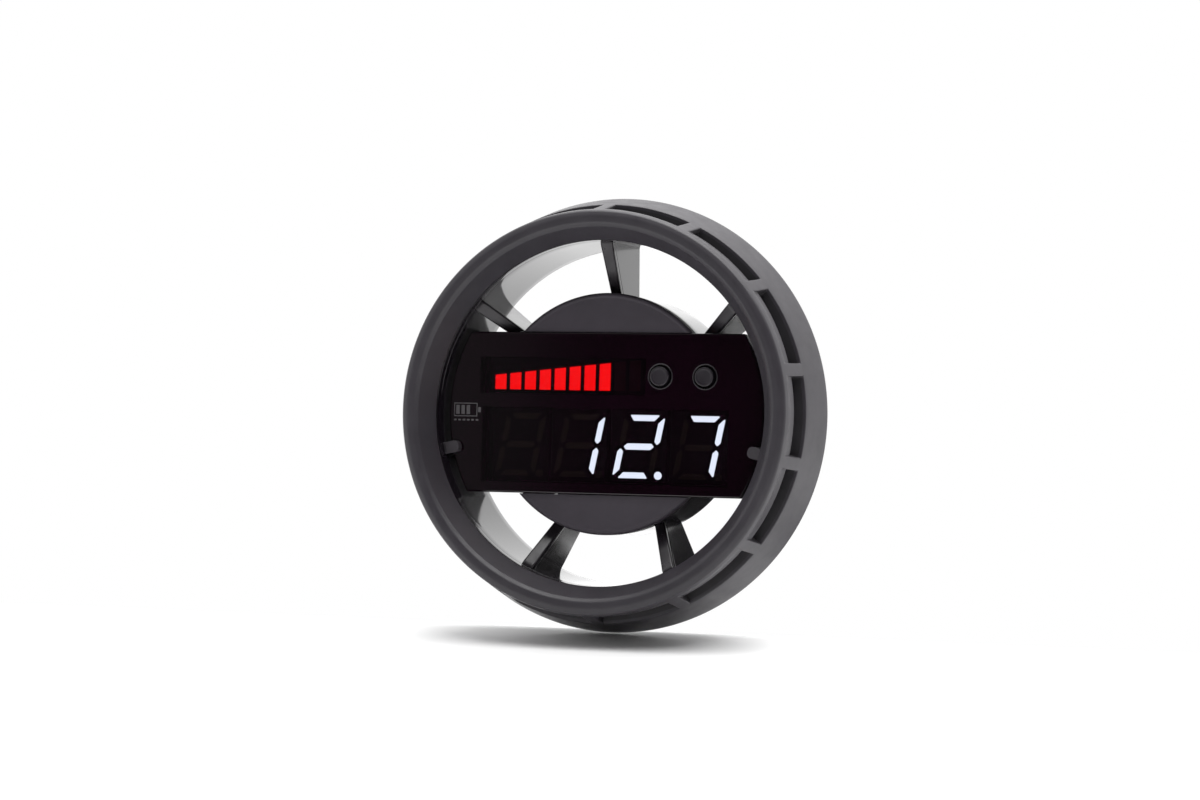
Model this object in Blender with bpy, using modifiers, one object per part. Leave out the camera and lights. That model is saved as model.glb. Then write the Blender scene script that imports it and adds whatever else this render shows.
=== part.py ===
"""Round dashboard-vent gauge: a digital voltmeter built into a turning air-vent insert.

Frame: metres, +Z up.  The vent's axis runs along Y and the front looks along -Y.
The origin is on the axis, in the plane of the grip ring's rear rim, where the
ring meets the dashboard.  Stations along the axis are written from the inner
edge of the front bead (station 0) towards the rear, as on a drawing, and
sta() turns them into Y.
"""
import math

import bmesh
import bpy
from mathutils import Matrix, Vector

MM = 0.001

# ---------------------------------------------------------------- dimensions (mm)
SEAT_STATION = 11.4          # station of the ring's rear rim, the origin's plane
GAP = 0.3                    # clearance between neighbouring pieces

# grip ring
BEAD_INNER_R = 30.0          # inner edge of the front cone
CREST_R, CREST_STA = 32.35, -3.88
BEAD_OUTER_R = 35.0
CONE_FRONT_STA = -2.75       # where the outer cone starts
BAND_REAR_R = 38.2           # rear rim of the outer cone
LAND_FRONT_R, LAND_R, LAND_REAR_STA = 30.0, 29.65, 1.3   # the lip narrows slightly inwards
RING_BORE_R = 31.8           # bore that runs on the barrel
INNER_WALL_R = 33.3          # outside of the bore's wall
INNER_WALL_REAR_STA = 10.2
CHANNEL_FRONT_STA = 4.8      # front of the hollow behind the pockets
BAND_WALL = 1.8
POCKETS = 14
BRIDGE_W = 2.25              # bridge between two pockets
POCKET_FRONT_STA, POCKET_REAR_STA = -2.2, 3.45
POCKET_FLANK_R, POCKET_FLOOR_R = 35.0, 33.9
RING_SEGMENTS = 98

# barrel
BARREL_IN_R, BARREL_OUT_R = 29.9, 31.45
BARREL_FRONT_STA, BARREL_REAR_STA = 1.6, 18.0
GROOVE_R = 30.75             # floor of the barrel's two grooves
FELT_STA = (3.2, 5.6)
CLIP_STA = (10.55, 11.75)
BARREL_SEGMENTS = 72
CLIPS = 3                    # snap hooks that hold the barrel in the dashboard

# spokes and hub
SPOKES = 7
SPOKE_HUB_R, SPOKE_RING_R = 21.45, 29.55
SPOKE_FRONT_HUB_STA, SPOKE_FRONT_RING_STA = 8.15, 2.3
SPOKE_REAR_HUB_STA, SPOKE_REAR_RING_STA = 19.1, 18.9
SPOKE_HALF_HUB, SPOKE_HALF_RING = 0.95, 1.15
HUB_R, HUB_WALL = 21.1, 1.5
HUB_FRONT_STA, HUB_REAR_STA = 4.07, 19.3
CAP_T = 1.6
HUB_SEGMENTS = 60

# display
LENS_FRONT_STA, LENS_T = 3.7, 2.5
LENS_R, LENS_HALF_H = 28.85, 14.03
BAY_R, BAY_HALF_H, BAY_REAR_STA = 28.6, 13.75, 15.9     # the bay that the display module sits in
TONGUE_R, TONGUE_REAR_STA = 26.45, 6.4                # spokes 3 and 6 hold the lens with a tongue in front
FRAME_R, FRAME_HALF_H, FRAME_WALL = 28.3, 13.4, 1.1
FRAME_FRONT_STA, FRAME_REAR_STA = 7.3, 14.1
SKIRT_FROM_X, SKIRT_REAR_STA = 20.6, 19.8
BOARD_STA = (12.3, 13.8)
FACE_STA = 6.7               # front of the digit and bar blocks
DIGIT_PITCH, DIGIT_1_X = 10.97, -16.40
DIGIT_W, DIGIT_TOP, DIGIT_BOTTOM = 10.5, 0.95, -11.95
BAR_X = (-22.6, 6.5)
BAR_Z = (3.1, 9.9)
BUTTON_X = (10.10, 18.20)
BUTTON_Z = 6.62
BUTTON_HOLE_R, BUTTON_R = 2.18, 1.68
BUTTON_FRONT_STA = 2.95
SWITCH_STA = (9.3, 12.0)

# ---------------------------------------------------------------- helpers
for o in list(bpy.data.objects):
    bpy.data.objects.remove(o, do_unlink=True)

PARTS = bpy.data.collections.new("vent_gauge")
CUTTERS = bpy.data.collections.new("vent_gauge_cutters")
bpy.context.scene.collection.children.link(PARTS)
bpy.context.scene.collection.children.link(CUTTERS)


def sta(s):
    """Y in metres of a station in millimetres."""
    return (s - SEAT_STATION) * MM


MATERIALS = {}


def material(name, rgb, rough, metal=0.0):
    if name not in MATERIALS:
        m = bpy.data.materials.new(name)
        m.use_nodes = True
        p = m.node_tree.nodes["Principled BSDF"]
        p.inputs["Base Color"].default_value = (*rgb, 1.0)
        p.inputs["Roughness"].default_value = rough
        p.inputs["Metallic"].default_value = metal
        m.diffuse_color = (*rgb, 1.0)
        MATERIALS[name] = m
    return MATERIALS[name]


SOFT = ("soft_touch_grey", (0.045, 0.043, 0.046), 0.55)
GLOSS = ("gloss_black", (0.010, 0.010, 0.011), 0.12)
SATIN = ("satin_black", (0.030, 0.029, 0.031), 0.45)
SMOKE = ("smoked_acrylic", (0.012, 0.006, 0.010), 0.06)
FOAM = ("black_foam", (0.020, 0.020, 0.020), 0.95)
FELT = ("black_felt", (0.015, 0.015, 0.015), 1.0)
STEEL = ("spring_steel", (0.45, 0.45, 0.46), 0.35, 1.0)
ZINC = ("zinc_plated", (0.60, 0.60, 0.62), 0.30, 1.0)
GOLD = ("tinned_pin", (0.70, 0.62, 0.40), 0.30, 1.0)
GREEN = ("board_green", (0.010, 0.070, 0.030), 0.35)
CHIP = ("chip_epoxy", (0.018, 0.018, 0.020), 0.5)
LEDBLOCK = ("led_block_black", (0.016, 0.015, 0.016), 0.4)
NYLON = ("white_nylon", (0.65, 0.63, 0.58), 0.5)
TAN = ("ceramic_tan", (0.38, 0.26, 0.15), 0.5)


def link(obj, mat, cutter=False):
    (CUTTERS if cutter else PARTS).objects.link(obj)
    if cutter:
        obj.hide_render = True
        obj.display_type = "WIRE"
    else:
        obj.data.materials.append(material(*mat))
    return obj


def smooth(mesh, angle=35.0):
    mesh.shade_smooth()
    mesh.set_sharp_from_angle(angle=math.radians(angle))


def turned(name, profile, segments, mat=None, cutter=False, closed=True):
    """A turned piece about Y.  profile: (radius, station) in mm."""
    pairs = zip(profile, profile[1:] + profile[:1])
    if sum(a[0] * b[1] - b[0] * a[1] for a, b in pairs) > 0:   # the order that turns its faces outwards
        profile = profile[::-1]
    bm = bmesh.new()
    verts = [bm.verts.new((r * MM, sta(s), 0.0)) for r, s in profile]
    n = len(verts)
    for i in range(n if closed else n - 1):
        bm.edges.new((verts[i], verts[(i + 1) % n]))
    mesh = bpy.data.meshes.new(name)
    bm.to_mesh(mesh)
    bm.free()
    obj = link(bpy.data.objects.new(name, mesh), mat, cutter)
    screw = obj.modifiers.new("turn", "SCREW")
    screw.axis = "Y"
    screw.angle = 2.0 * math.pi
    screw.screw_offset = 0.0
    screw.iterations = 1
    screw.steps = screw.render_steps = segments
    screw.use_merge_vertices = True
    screw.merge_threshold = 0.00001
    screw.use_smooth_shade = True
    screw.use_normal_calculate = False
    return obj


def block(name, x, s, z, mat=None, cutter=False, bevel=0.0):
    """A box from x[0] to x[1], station s[0] to s[1], z[0] to z[1], in mm."""
    mesh = bpy.data.meshes.new(name)
    bm = bmesh.new()
    bmesh.ops.create_cube(bm, size=1.0)
    size = Vector(((x[1] - x[0]) * MM, (s[1] - s[0]) * MM, (z[1] - z[0]) * MM))
    bmesh.ops.scale(bm, vec=size, verts=bm.verts)
    bm.to_mesh(mesh)
    bm.free()
    obj = link(bpy.data.objects.new(name, mesh), mat, cutter)
    obj.location = ((x[0] + x[1]) / 2 * MM, sta((s[0] + s[1]) / 2), (z[0] + z[1]) / 2 * MM)
    if bevel:
        b = obj.modifiers.new("edges", "BEVEL")
        b.width = bevel * MM
        b.segments = 1
        b.limit_method = "ANGLE"
    return obj


def rod(name, x, z, s, r, segments, mat=None, cutter=False):
    """A cylinder along Y at (x, z) from station s[0] to s[1], radius r, in mm."""
    mesh = bpy.data.meshes.new(name)
    bm = bmesh.new()
    bmesh.ops.create_cone(bm, cap_ends=True, segments=segments, radius1=r * MM,
                          radius2=r * MM, depth=(s[1] - s[0]) * MM)
    bmesh.ops.rotate(bm, verts=bm.verts, cent=(0, 0, 0), matrix=Matrix.Rotation(math.radians(90), 3, "X"))
    bm.to_mesh(mesh)
    bm.free()
    smooth(mesh)
    obj = link(bpy.data.objects.new(name, mesh), mat, cutter)
    obj.location = (x * MM, sta((s[0] + s[1]) / 2), z * MM)
    return obj


def cut(obj, cutter, operation="DIFFERENCE"):
    m = obj.modifiers.new("cut_" + cutter.name, "BOOLEAN")
    m.operation = operation
    m.solver = "EXACT"
    m.object = cutter
    return m


def arc(r, a0, a1, n):
    """n + 1 points on a circle of radius r, from a0 to a1 degrees."""
    return [(r * math.cos(math.radians(a0 + (a1 - a0) * i / n)),
             r * math.sin(math.radians(a0 + (a1 - a0) * i / n))) for i in range(n + 1)]


def plate(name, outline, s, mat=None, cutter=False):
    """A flat piece: a closed outline in X and Z (mm), from station s[0] to s[1]."""
    curve = bpy.data.curves.new(name + "_outline", "CURVE")
    curve.dimensions = "2D"
    curve.fill_mode = "BOTH"
    curve.extrude = (s[1] - s[0]) / 2 * MM
    spline = curve.splines.new("POLY")
    spline.points.add(len(outline) - 1)
    for p, (x, z) in zip(spline.points, outline):
        p.co = (x * MM, z * MM, 0.0, 1.0)
    spline.use_cyclic_u = True
    guide = bpy.data.objects.new(name + "_outline", curve)
    CUTTERS.objects.link(guide)
    bpy.context.view_layer.update()
    mesh = bpy.data.meshes.new_from_object(guide.evaluated_get(bpy.context.evaluated_depsgraph_get()))
    bpy.data.objects.remove(guide, do_unlink=True)
    bm = bmesh.new()
    bm.from_mesh(mesh)
    bmesh.ops.remove_doubles(bm, verts=bm.verts, dist=0.000001)
    bmesh.ops.rotate(bm, verts=bm.verts, cent=(0, 0, 0), matrix=Matrix.Rotation(math.radians(90), 3, "X"))
    bmesh.ops.recalc_face_normals(bm, faces=bm.faces)
    bm.to_mesh(mesh)
    bm.free()
    mesh.name = name
    mesh.materials.clear()
    obj = link(bpy.data.objects.new(name, mesh), mat, cutter)
    obj.location = (0.0, sta((s[0] + s[1]) / 2), 0.0)
    return obj


def clipped_disc(r, half_h, n):
    """Outline of a disc of radius r cut off straight at z = +-half_h."""
    a = math.degrees(math.asin(half_h / r))
    return arc(r, -a, a, n) + arc(r, 180.0 - a, 180.0 + a, n)


# ---------------------------------------------------------------- grip ring
def cone_r(s):
    """Radius of the ring's outer cone at a station."""
    t = (s - CONE_FRONT_STA) / (10.95 - CONE_FRONT_STA)
    return BEAD_OUTER_R + (BAND_REAR_R - BEAD_OUTER_R) * t


def arc_about(c, r, a0, a1, n):
    """n + 1 points on a circle of radius r about c, from a0 to a1 degrees (0 is +R, 90 is +station)."""
    return [(c[0] + r * math.cos(math.radians(a0 + (a1 - a0) * i / n)),
             c[1] + r * math.sin(math.radians(a0 + (a1 - a0) * i / n))) for i in range(n + 1)]


def ring_profile():
    inner = [(LAND_R, LAND_REAR_STA), (LAND_FRONT_R, 0.2), (BEAD_INNER_R + 0.1, 0.0)]
    # the front bead: a tight crest radius inside, a slow curve, and a round outer edge
    crest = arc_about((CREST_R + 0.42, CREST_STA + 0.7), 0.85, 205.0, 265.0, 3)
    front = arc_about((BEAD_OUTER_R - 1.35, CREST_STA + 1.08), 1.32, 275.0, 355.0, 4)
    outer = [(cone_r(CONE_FRONT_STA + 0.3), CONE_FRONT_STA + 0.3), (cone_r(3.45), 3.45), (cone_r(7.2), 7.2), (BAND_REAR_R, 10.95),
             (BAND_REAR_R - 0.08, 11.24), (BAND_REAR_R - 0.35, SEAT_STATION)]
    hollow = [(cone_r(SEAT_STATION) - BAND_WALL, SEAT_STATION),
              (cone_r(CHANNEL_FRONT_STA) - BAND_WALL, CHANNEL_FRONT_STA),
              (INNER_WALL_R, CHANNEL_FRONT_STA), (INNER_WALL_R, INNER_WALL_REAR_STA),
              (RING_BORE_R, INNER_WALL_REAR_STA), (RING_BORE_R, LAND_REAR_STA)]
    return inner + crest + front + outer + hollow


ring_axis = bpy.data.objects.new("ring_axis", None)
PARTS.objects.link(ring_axis)
grip_ring = turned("grip_ring", ring_profile(), RING_SEGMENTS, SOFT)
grip_ring.parent = ring_axis

pocket_ring = turned("pocket_ring", [
    (POCKET_FLANK_R, POCKET_FRONT_STA), (POCKET_FLANK_R, 0.5), (POCKET_FLANK_R - 0.3, 1.0),
    (POCKET_FLOOR_R, 1.4), (POCKET_FLOOR_R, POCKET_REAR_STA), (41.0, POCKET_REAR_STA),
    (41.0, POCKET_FRONT_STA)], RING_SEGMENTS, cutter=True)

mesh = bpy.data.meshes.new("bridge_bars")
bm = bmesh.new()
for i in range(POCKETS):
    made = bmesh.ops.create_cube(bm, size=1.0)["verts"]
    bmesh.ops.scale(bm, vec=(12.0 * MM, 20.0 * MM, BRIDGE_W * MM), verts=made)
    bmesh.ops.translate(bm, vec=(38.0 * MM, sta(0.0), 0.0), verts=made)
    turn = math.radians(90.0 + 360.0 * i / POCKETS)
    bmesh.ops.rotate(bm, verts=made, cent=(0, 0, 0), matrix=Matrix.Rotation(-turn, 3, "Y"))
bm.to_mesh(mesh)
bm.free()
bridge_bars = link(bpy.data.objects.new("bridge_bars", mesh), None, cutter=True)
cut(pocket_ring, bridge_bars)
cut(grip_ring, pocket_ring)

# ---------------------------------------------------------------- barrel
barrel_profile = [
    (BARREL_IN_R + 0.25, BARREL_FRONT_STA), (BARREL_OUT_R, BARREL_FRONT_STA),
    (BARREL_OUT_R, FELT_STA[0]), (GROOVE_R, FELT_STA[0]), (GROOVE_R, FELT_STA[1]), (BARREL_OUT_R, FELT_STA[1]),
    (BARREL_OUT_R, CLIP_STA[0]), (GROOVE_R, CLIP_STA[0]), (GROOVE_R, CLIP_STA[1]), (BARREL_OUT_R, CLIP_STA[1]),
    (BARREL_OUT_R, BARREL_REAR_STA - 0.4), (BARREL_OUT_R - 0.4, BARREL_REAR_STA),
    (BARREL_IN_R, BARREL_REAR_STA), (BARREL_IN_R, BARREL_FRONT_STA + 0.25)]
vent_barrel = turned("vent_barrel", barrel_profile, BARREL_SEGMENTS, GLOSS)

turned("friction_ring", [(GROOVE_R + GAP, FELT_STA[0] + GAP), (RING_BORE_R - GAP, FELT_STA[0] + GAP),
                         (RING_BORE_R - GAP, FELT_STA[1] - GAP), (GROOVE_R + GAP, FELT_STA[1] - GAP)],
       BARREL_SEGMENTS, FELT)

# A spring-steel snap ring with a gap at the bottom keeps the grip ring on the barrel.
snap_outline = arc(GROOVE_R + GAP, -82.0, 262.0, 60) + arc(32.9, 262.0, -82.0, 60)
plate("snap_ring", snap_outline, (CLIP_STA[0] + 0.15, CLIP_STA[1] - 0.15), STEEL)

# Three sprung hooks behind the seat plane hold the barrel in the dashboard's collar.
for i in range(CLIPS):
    a = 30.0 + 120.0 * i
    name = "barrel_hook_%d" % (i + 1)
    hook_mesh = bpy.data.meshes.new(name)
    bm = bmesh.new()
    bmesh.ops.create_cube(bm, size=1.0)
    bmesh.ops.scale(bm, vec=(1.6 * MM, 4.6 * MM, 7.0 * MM), verts=bm.verts)
    bmesh.ops.translate(bm, vec=((BARREL_OUT_R + GAP + 0.95) * MM, sta(15.0), 0.0), verts=bm.verts)
    for v in bm.verts:                      # the ramp: thin at the rear, thick at the front
        if v.co.x > (BARREL_OUT_R + GAP + 0.9) * MM and v.co.y > sta(15.0):
            v.co.x -= 1.1 * MM
    bmesh.ops.rotate(bm, verts=bm.verts, cent=(0, 0, 0), matrix=Matrix.Rotation(math.radians(-a), 3, "Y"))
    bm.to_mesh(hook_mesh)
    bm.free()
    link(bpy.data.objects.new(name, hook_mesh), SATIN)

# ---------------------------------------------------------------- the bay cut through hub and spokes
display_bay = plate("display_bay", clipped_disc(BAY_R, BAY_HALF_H, 24), (TONGUE_REAR_STA, BAY_REAR_STA), cutter=True)
front_bay = plate("front_bay", clipped_disc(TONGUE_R, BAY_HALF_H, 24), (-8.0, TONGUE_REAR_STA + 0.5), cutter=True)
lens_bay = block("lens_bay", (-24.0, 24.0), (-9.0, 6.5), (-LENS_HALF_H - GAP, LENS_HALF_H + GAP), cutter=True)

# ---------------------------------------------------------------- spokes
for i in range(SPOKES):
    a = 90.0 + 360.0 * i / SPOKES
    name = "spoke_%d" % (i + 1)
    spoke_mesh = bpy.data.meshes.new(name)
    bm = bmesh.new()
    bmesh.ops.create_cube(bm, size=1.0)
    for v in bm.verts:
        outer, rear, side = v.co.x > 0, v.co.y > 0, (1 if v.co.z > 0 else -1)
        r = SPOKE_RING_R if outer else SPOKE_HUB_R
        if outer:
            s = SPOKE_REAR_RING_STA if rear else SPOKE_FRONT_RING_STA
            half = SPOKE_HALF_RING
        else:
            s = SPOKE_REAR_HUB_STA if rear else SPOKE_FRONT_HUB_STA
            half = SPOKE_HALF_HUB
        v.co = (r * MM, sta(s), side * half * MM)
    bm.to_mesh(spoke_mesh)
    bm.free()
    spoke = link(bpy.data.objects.new(name, spoke_mesh), GLOSS)
    spoke.rotation_euler = (0.0, math.radians(-a), 0.0)
    edge = spoke.modifiers.new("edges", "BEVEL")
    edge.width = 0.22 * MM
    edge.segments = 1
    edge.limit_method = "ANGLE"
    if abs(math.sin(math.radians(a))) * SPOKE_HUB_R < BAY_HALF_H + 1.5:
        cut(spoke, display_bay)
        cut(spoke, front_bay)

# ---------------------------------------------------------------- hub
hub_front = HUB_FRONT_STA + CAP_T + GAP
hub_shell = turned("hub_shell", [
    (HUB_R, hub_front), (HUB_R, HUB_REAR_STA - 0.3), (HUB_R - 0.3, HUB_REAR_STA),
    (HUB_R - HUB_WALL, HUB_REAR_STA), (HUB_R - HUB_WALL, hub_front)], HUB_SEGMENTS, GLOSS)
cut(hub_shell, display_bay)
cut(hub_shell, front_bay)
cut(hub_shell, lens_bay)
for sign, name in ((1, "hub_cap_upper"), (-1, "hub_cap_lower")):
    z0 = LENS_HALF_H + GAP
    a0 = math.degrees(math.asin(z0 / HUB_R))
    outline = arc(HUB_R, a0, 180.0 - a0, 30)
    outline = [(x, sign * z) for x, z in outline]
    cap = plate(name, outline, (HUB_FRONT_STA, HUB_FRONT_STA + CAP_T), SATIN)
    edge = cap.modifiers.new("edges", "BEVEL")
    edge.width = 0.35 * MM
    edge.segments = 2
    edge.limit_method = "ANGLE"
    edge.angle_limit = math.radians(60.0)

rear_cover = turned("hub_rear_cover", [
    (0.0, 17.6), (HUB_R - HUB_WALL - GAP, 17.6), (HUB_R - HUB_WALL - GAP, 19.1), (0.0, 19.1)],
    HUB_SEGMENTS, SATIN, closed=False)
socket_hole = block("socket_hole", (-6.3, 6.3), (16.0, 22.0), (-3.9, 3.9), cutter=True)
cut(rear_cover, socket_hole)
COVER_SCREWS = [(15.7 * math.cos(math.radians(90 + 120 * i)), 15.7 * math.sin(math.radians(90 + 120 * i))) for i in range(3)]
for i, (x, z) in enumerate(COVER_SCREWS):
    well = rod("screw_well_%d" % (i + 1), x, z, (16.0, 22.0), 1.45, 20, cutter=True)
    cut(rear_cover, well)
    name = "cover_screw_%d" % (i + 1)
    screw = turned(name, [(0.0, 16.1), (0.75, 16.1), (1.1, 16.6), (1.1, 19.4), (2.1, 19.4), (2.1, 20.0), (1.8, 20.3), (0.0, 20.3)],
                   20, ZINC, closed=False)
    screw.location = (x * MM, 0.0, z * MM)
    # cross recess
    for j, (w, h) in enumerate(((2.4, 0.5), (0.5, 2.4))):
        slot = block("%s_recess_%d" % (name, j + 1), (x - w / 2, x + w / 2), (19.7, 22.0), (z - h / 2, z + h / 2), cutter=True)
        cut(screw, slot)

# ---------------------------------------------------------------- lens and its seal
lens = plate("lens", clipped_disc(LENS_R, LENS_HALF_H, 28), (LENS_FRONT_STA, LENS_FRONT_STA + LENS_T), SMOKE)
for i, x in enumerate(BUTTON_X):
    cut(lens, rod("button_hole_%d" % (i + 1), x, BUTTON_Z, (0.0, 10.0), BUTTON_HOLE_R, 32, cutter=True))
for i in range(SPOKES):
    a = 90.0 + 360.0 * i / SPOKES
    z = math.sin(math.radians(a)) * SPOKE_RING_R
    if abs(z) < LENS_HALF_H:
        outline = [(34.0, -1.48)] + arc_about((TONGUE_R + 0.62, 0.0), 1.48, 270.0, 90.0, 8) + [(34.0, 1.48)]
        notch = plate("spoke_notch_%d" % (i + 1), outline, (0.0, 10.0), cutter=True)
        notch.rotation_euler = (0.0, math.radians(-a), 0.0)
        cut(lens, notch)

gasket = plate("lens_gasket", clipped_disc(FRAME_R, FRAME_HALF_H - 0.2, 14), (6.5, 7.0), FOAM)
cut(gasket, block("gasket_window", (-24.2, 24.2), (5.0, 9.0), (-12.35, 12.35), cutter=True))

# ---------------------------------------------------------------- display module
frame = plate("display_frame", clipped_disc(FRAME_R, FRAME_HALF_H, 14), (FRAME_FRONT_STA, FRAME_REAR_STA), SATIN)
frame_window = plate("frame_window", clipped_disc(FRAME_R - FRAME_WALL, FRAME_HALF_H - FRAME_WALL, 14), (5.0, 20.0), cutter=True)
cut(frame, frame_window)

board = plate("display_board", [(24.6, -10.0), (24.6, 10.0), (23.3, 12.0), (-23.3, 12.0),
                                (-24.6, 10.0), (-24.6, -10.0), (-23.3, -12.0), (23.3, -12.0)], BOARD_STA, GREEN)
back_plate = plate("back_plate", clipped_disc(FRAME_R, FRAME_HALF_H - 0.2, 14), (FRAME_REAR_STA + GAP, 15.5), SATIN)
cut(back_plate, block("back_window", (-16.5, 16.5), (13.0, 18.0), (-9.8, 9.8), cutter=True))
# beside the hub the plate's rim runs on to the rear as a skirt, notched where the side spokes pass
skirt = plate("back_skirt", clipped_disc(FRAME_R, FRAME_HALF_H - 0.2, 14), (15.0, SKIRT_REAR_STA), cutter=True)
cut(skirt, plate("skirt_window", clipped_disc(FRAME_R - FRAME_WALL, FRAME_HALF_H - 0.2 - FRAME_WALL, 14), (14.0, 22.0), cutter=True))
cut(skirt, block("skirt_middle", (-SKIRT_FROM_X, SKIRT_FROM_X), (14.0, 22.0), (-15.0, 15.0), cutter=True))
for side, x in (("left", (-30.0, -20.0)), ("right", (20.0, 30.0))):
    cut(skirt, block("skirt_notch_" + side, x, (15.6, 22.0), (-8.2, -3.0), cutter=True))
cut(back_plate, skirt, "UNION")
for i, x in enumerate((-23.9, 23.9)):
    cut(back_plate, rod("plate_screw_well_%d" % (i + 1), x, 3.0, (13.0, 18.0), 1.05, 16, cutter=True))
    name = "plate_screw_%d" % (i + 1)
    screw = turned(name, [(0.0, 14.15), (0.75, 14.15), (0.75, 15.8), (1.4, 15.8), (1.4, 16.4), (1.2, 16.7), (0.0, 16.7)], 18, ZINC, closed=False)
    screw.location = (x * MM, 0.0, 3.0 * MM)
    cut(screw, block(name + "_recess", (x - 1.0, x + 1.0), (16.3, 18.0), (2.78, 3.22), cutter=True))

for i in range(4):
    x = DIGIT_1_X + DIGIT_PITCH * i
    block("digit_%d" % (i + 1), (x - DIGIT_W / 2, x + DIGIT_W / 2), (FACE_STA, 12.0), (DIGIT_BOTTOM, DIGIT_TOP), LEDBLOCK, bevel=0.2)
block("bar_graph", BAR_X, (FACE_STA, 12.0), BAR_Z, LEDBLOCK, bevel=0.2)

# ---------------------------------------------------------------- push buttons
for i, x in enumerate(BUTTON_X):
    n = i + 1
    block("tact_switch_%d" % n, (x - 3.0, x + 3.0), SWITCH_STA, (BUTTON_Z - 3.0, BUTTON_Z + 3.0), CHIP, bevel=0.25)
    cap_axis = bpy.data.objects.new("button_axis_%d" % n, None)
    PARTS.objects.link(cap_axis)
    cap_axis.location = (x * MM, sta(BUTTON_FRONT_STA), BUTTON_Z * MM)
    cap = turned("button_cap_%d" % n, [
        (0.0, BUTTON_FRONT_STA), (BUTTON_R - 0.4, BUTTON_FRONT_STA), (BUTTON_R - 0.1, BUTTON_FRONT_STA + 0.12),
        (BUTTON_R, BUTTON_FRONT_STA + 0.4), (BUTTON_R, 7.4), (2.6, 7.4), (2.6, 8.2), (1.5, 8.2), (1.5, 8.75), (0.0, 8.75)],
        28, SATIN, closed=False)
    for v in cap.data.vertices:             # the mesh is measured from the button's own axis
        v.co.y -= sta(BUTTON_FRONT_STA)
    cap.parent = cap_axis

# ---------------------------------------------------------------- parts on the back of the board
REAR = BOARD_STA[1] + GAP
block("controller_chip", (-13.4, -6.4), (REAR, REAR + 1.6), (-4.5, 2.5), CHIP, bevel=0.15)
block("led_driver_chip", (6.9, 13.0), (REAR, REAR + 1.8), (-5.0, 3.6), CHIP, bevel=0.15)
block("voltage_regulator", (-12.0, -5.4), (REAR, REAR + 1.7), (4.0, 7.6), CHIP, bevel=0.15)
block("sense_resistor", (7.8, 13.8), (REAR, REAR + 0.8), (5.2, 8.2), CHIP, bevel=0.1)
rod("supply_capacitor", -9.0, -7.2, (REAR, REAR + 3.0), 1.9, 24, ZINC)
block("ceramic_capacitor", (3.0, 5.4), (REAR, REAR + 1.2), (5.4, 6.8), TAN, bevel=0.1)
socket = block("harness_socket", (-5.9, 5.9), (REAR, 20.6), (-3.5, 3.5), NYLON)
cut(socket, block("socket_cavity", (-4.9, 4.9), (16.2, 24.0), (-2.5, 2.5), cutter=True))
for i in range(4):
    x = -3.75 + 2.5 * i
    cut(socket, block("pin_hole_%d" % (i + 1), (x - 0.62, x + 0.62), (15.1, 17.0), (-0.62, 0.62), cutter=True))
    block("socket_pin_%d" % (i + 1), (x - 0.32, x + 0.32), (15.4, 19.6), (-0.32, 0.32), GOLD)
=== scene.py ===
"""Looks of the round dashboard-vent gauge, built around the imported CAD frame.

Frame: metres, +Z up, the vent's axis along Y, the display faces -Y.  Stations are
millimetres along the axis from the inner edge of the front bead towards the rear,
as in the CAD source; Y(s) turns them into the frame.
"""
import math

import bmesh
import bpy
import numpy as np
from mathutils import Matrix, Vector


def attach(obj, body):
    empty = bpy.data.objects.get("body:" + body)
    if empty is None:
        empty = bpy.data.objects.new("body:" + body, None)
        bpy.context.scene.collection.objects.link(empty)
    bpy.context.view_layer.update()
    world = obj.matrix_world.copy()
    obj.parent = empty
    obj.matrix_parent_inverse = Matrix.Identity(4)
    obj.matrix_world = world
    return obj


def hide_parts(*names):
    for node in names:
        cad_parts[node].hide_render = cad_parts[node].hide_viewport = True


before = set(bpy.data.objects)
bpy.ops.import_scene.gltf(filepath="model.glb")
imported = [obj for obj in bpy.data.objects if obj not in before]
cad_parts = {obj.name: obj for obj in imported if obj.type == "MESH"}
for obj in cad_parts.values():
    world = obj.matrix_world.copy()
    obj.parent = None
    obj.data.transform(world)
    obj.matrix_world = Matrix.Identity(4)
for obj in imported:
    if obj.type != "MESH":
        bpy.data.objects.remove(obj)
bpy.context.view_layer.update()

MM = 0.001
CORE, RING, BUTTONS = "vent_core", "ring", ("button_1", "button_2")


def Y(s):
    return (s - 11.4) * MM


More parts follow.
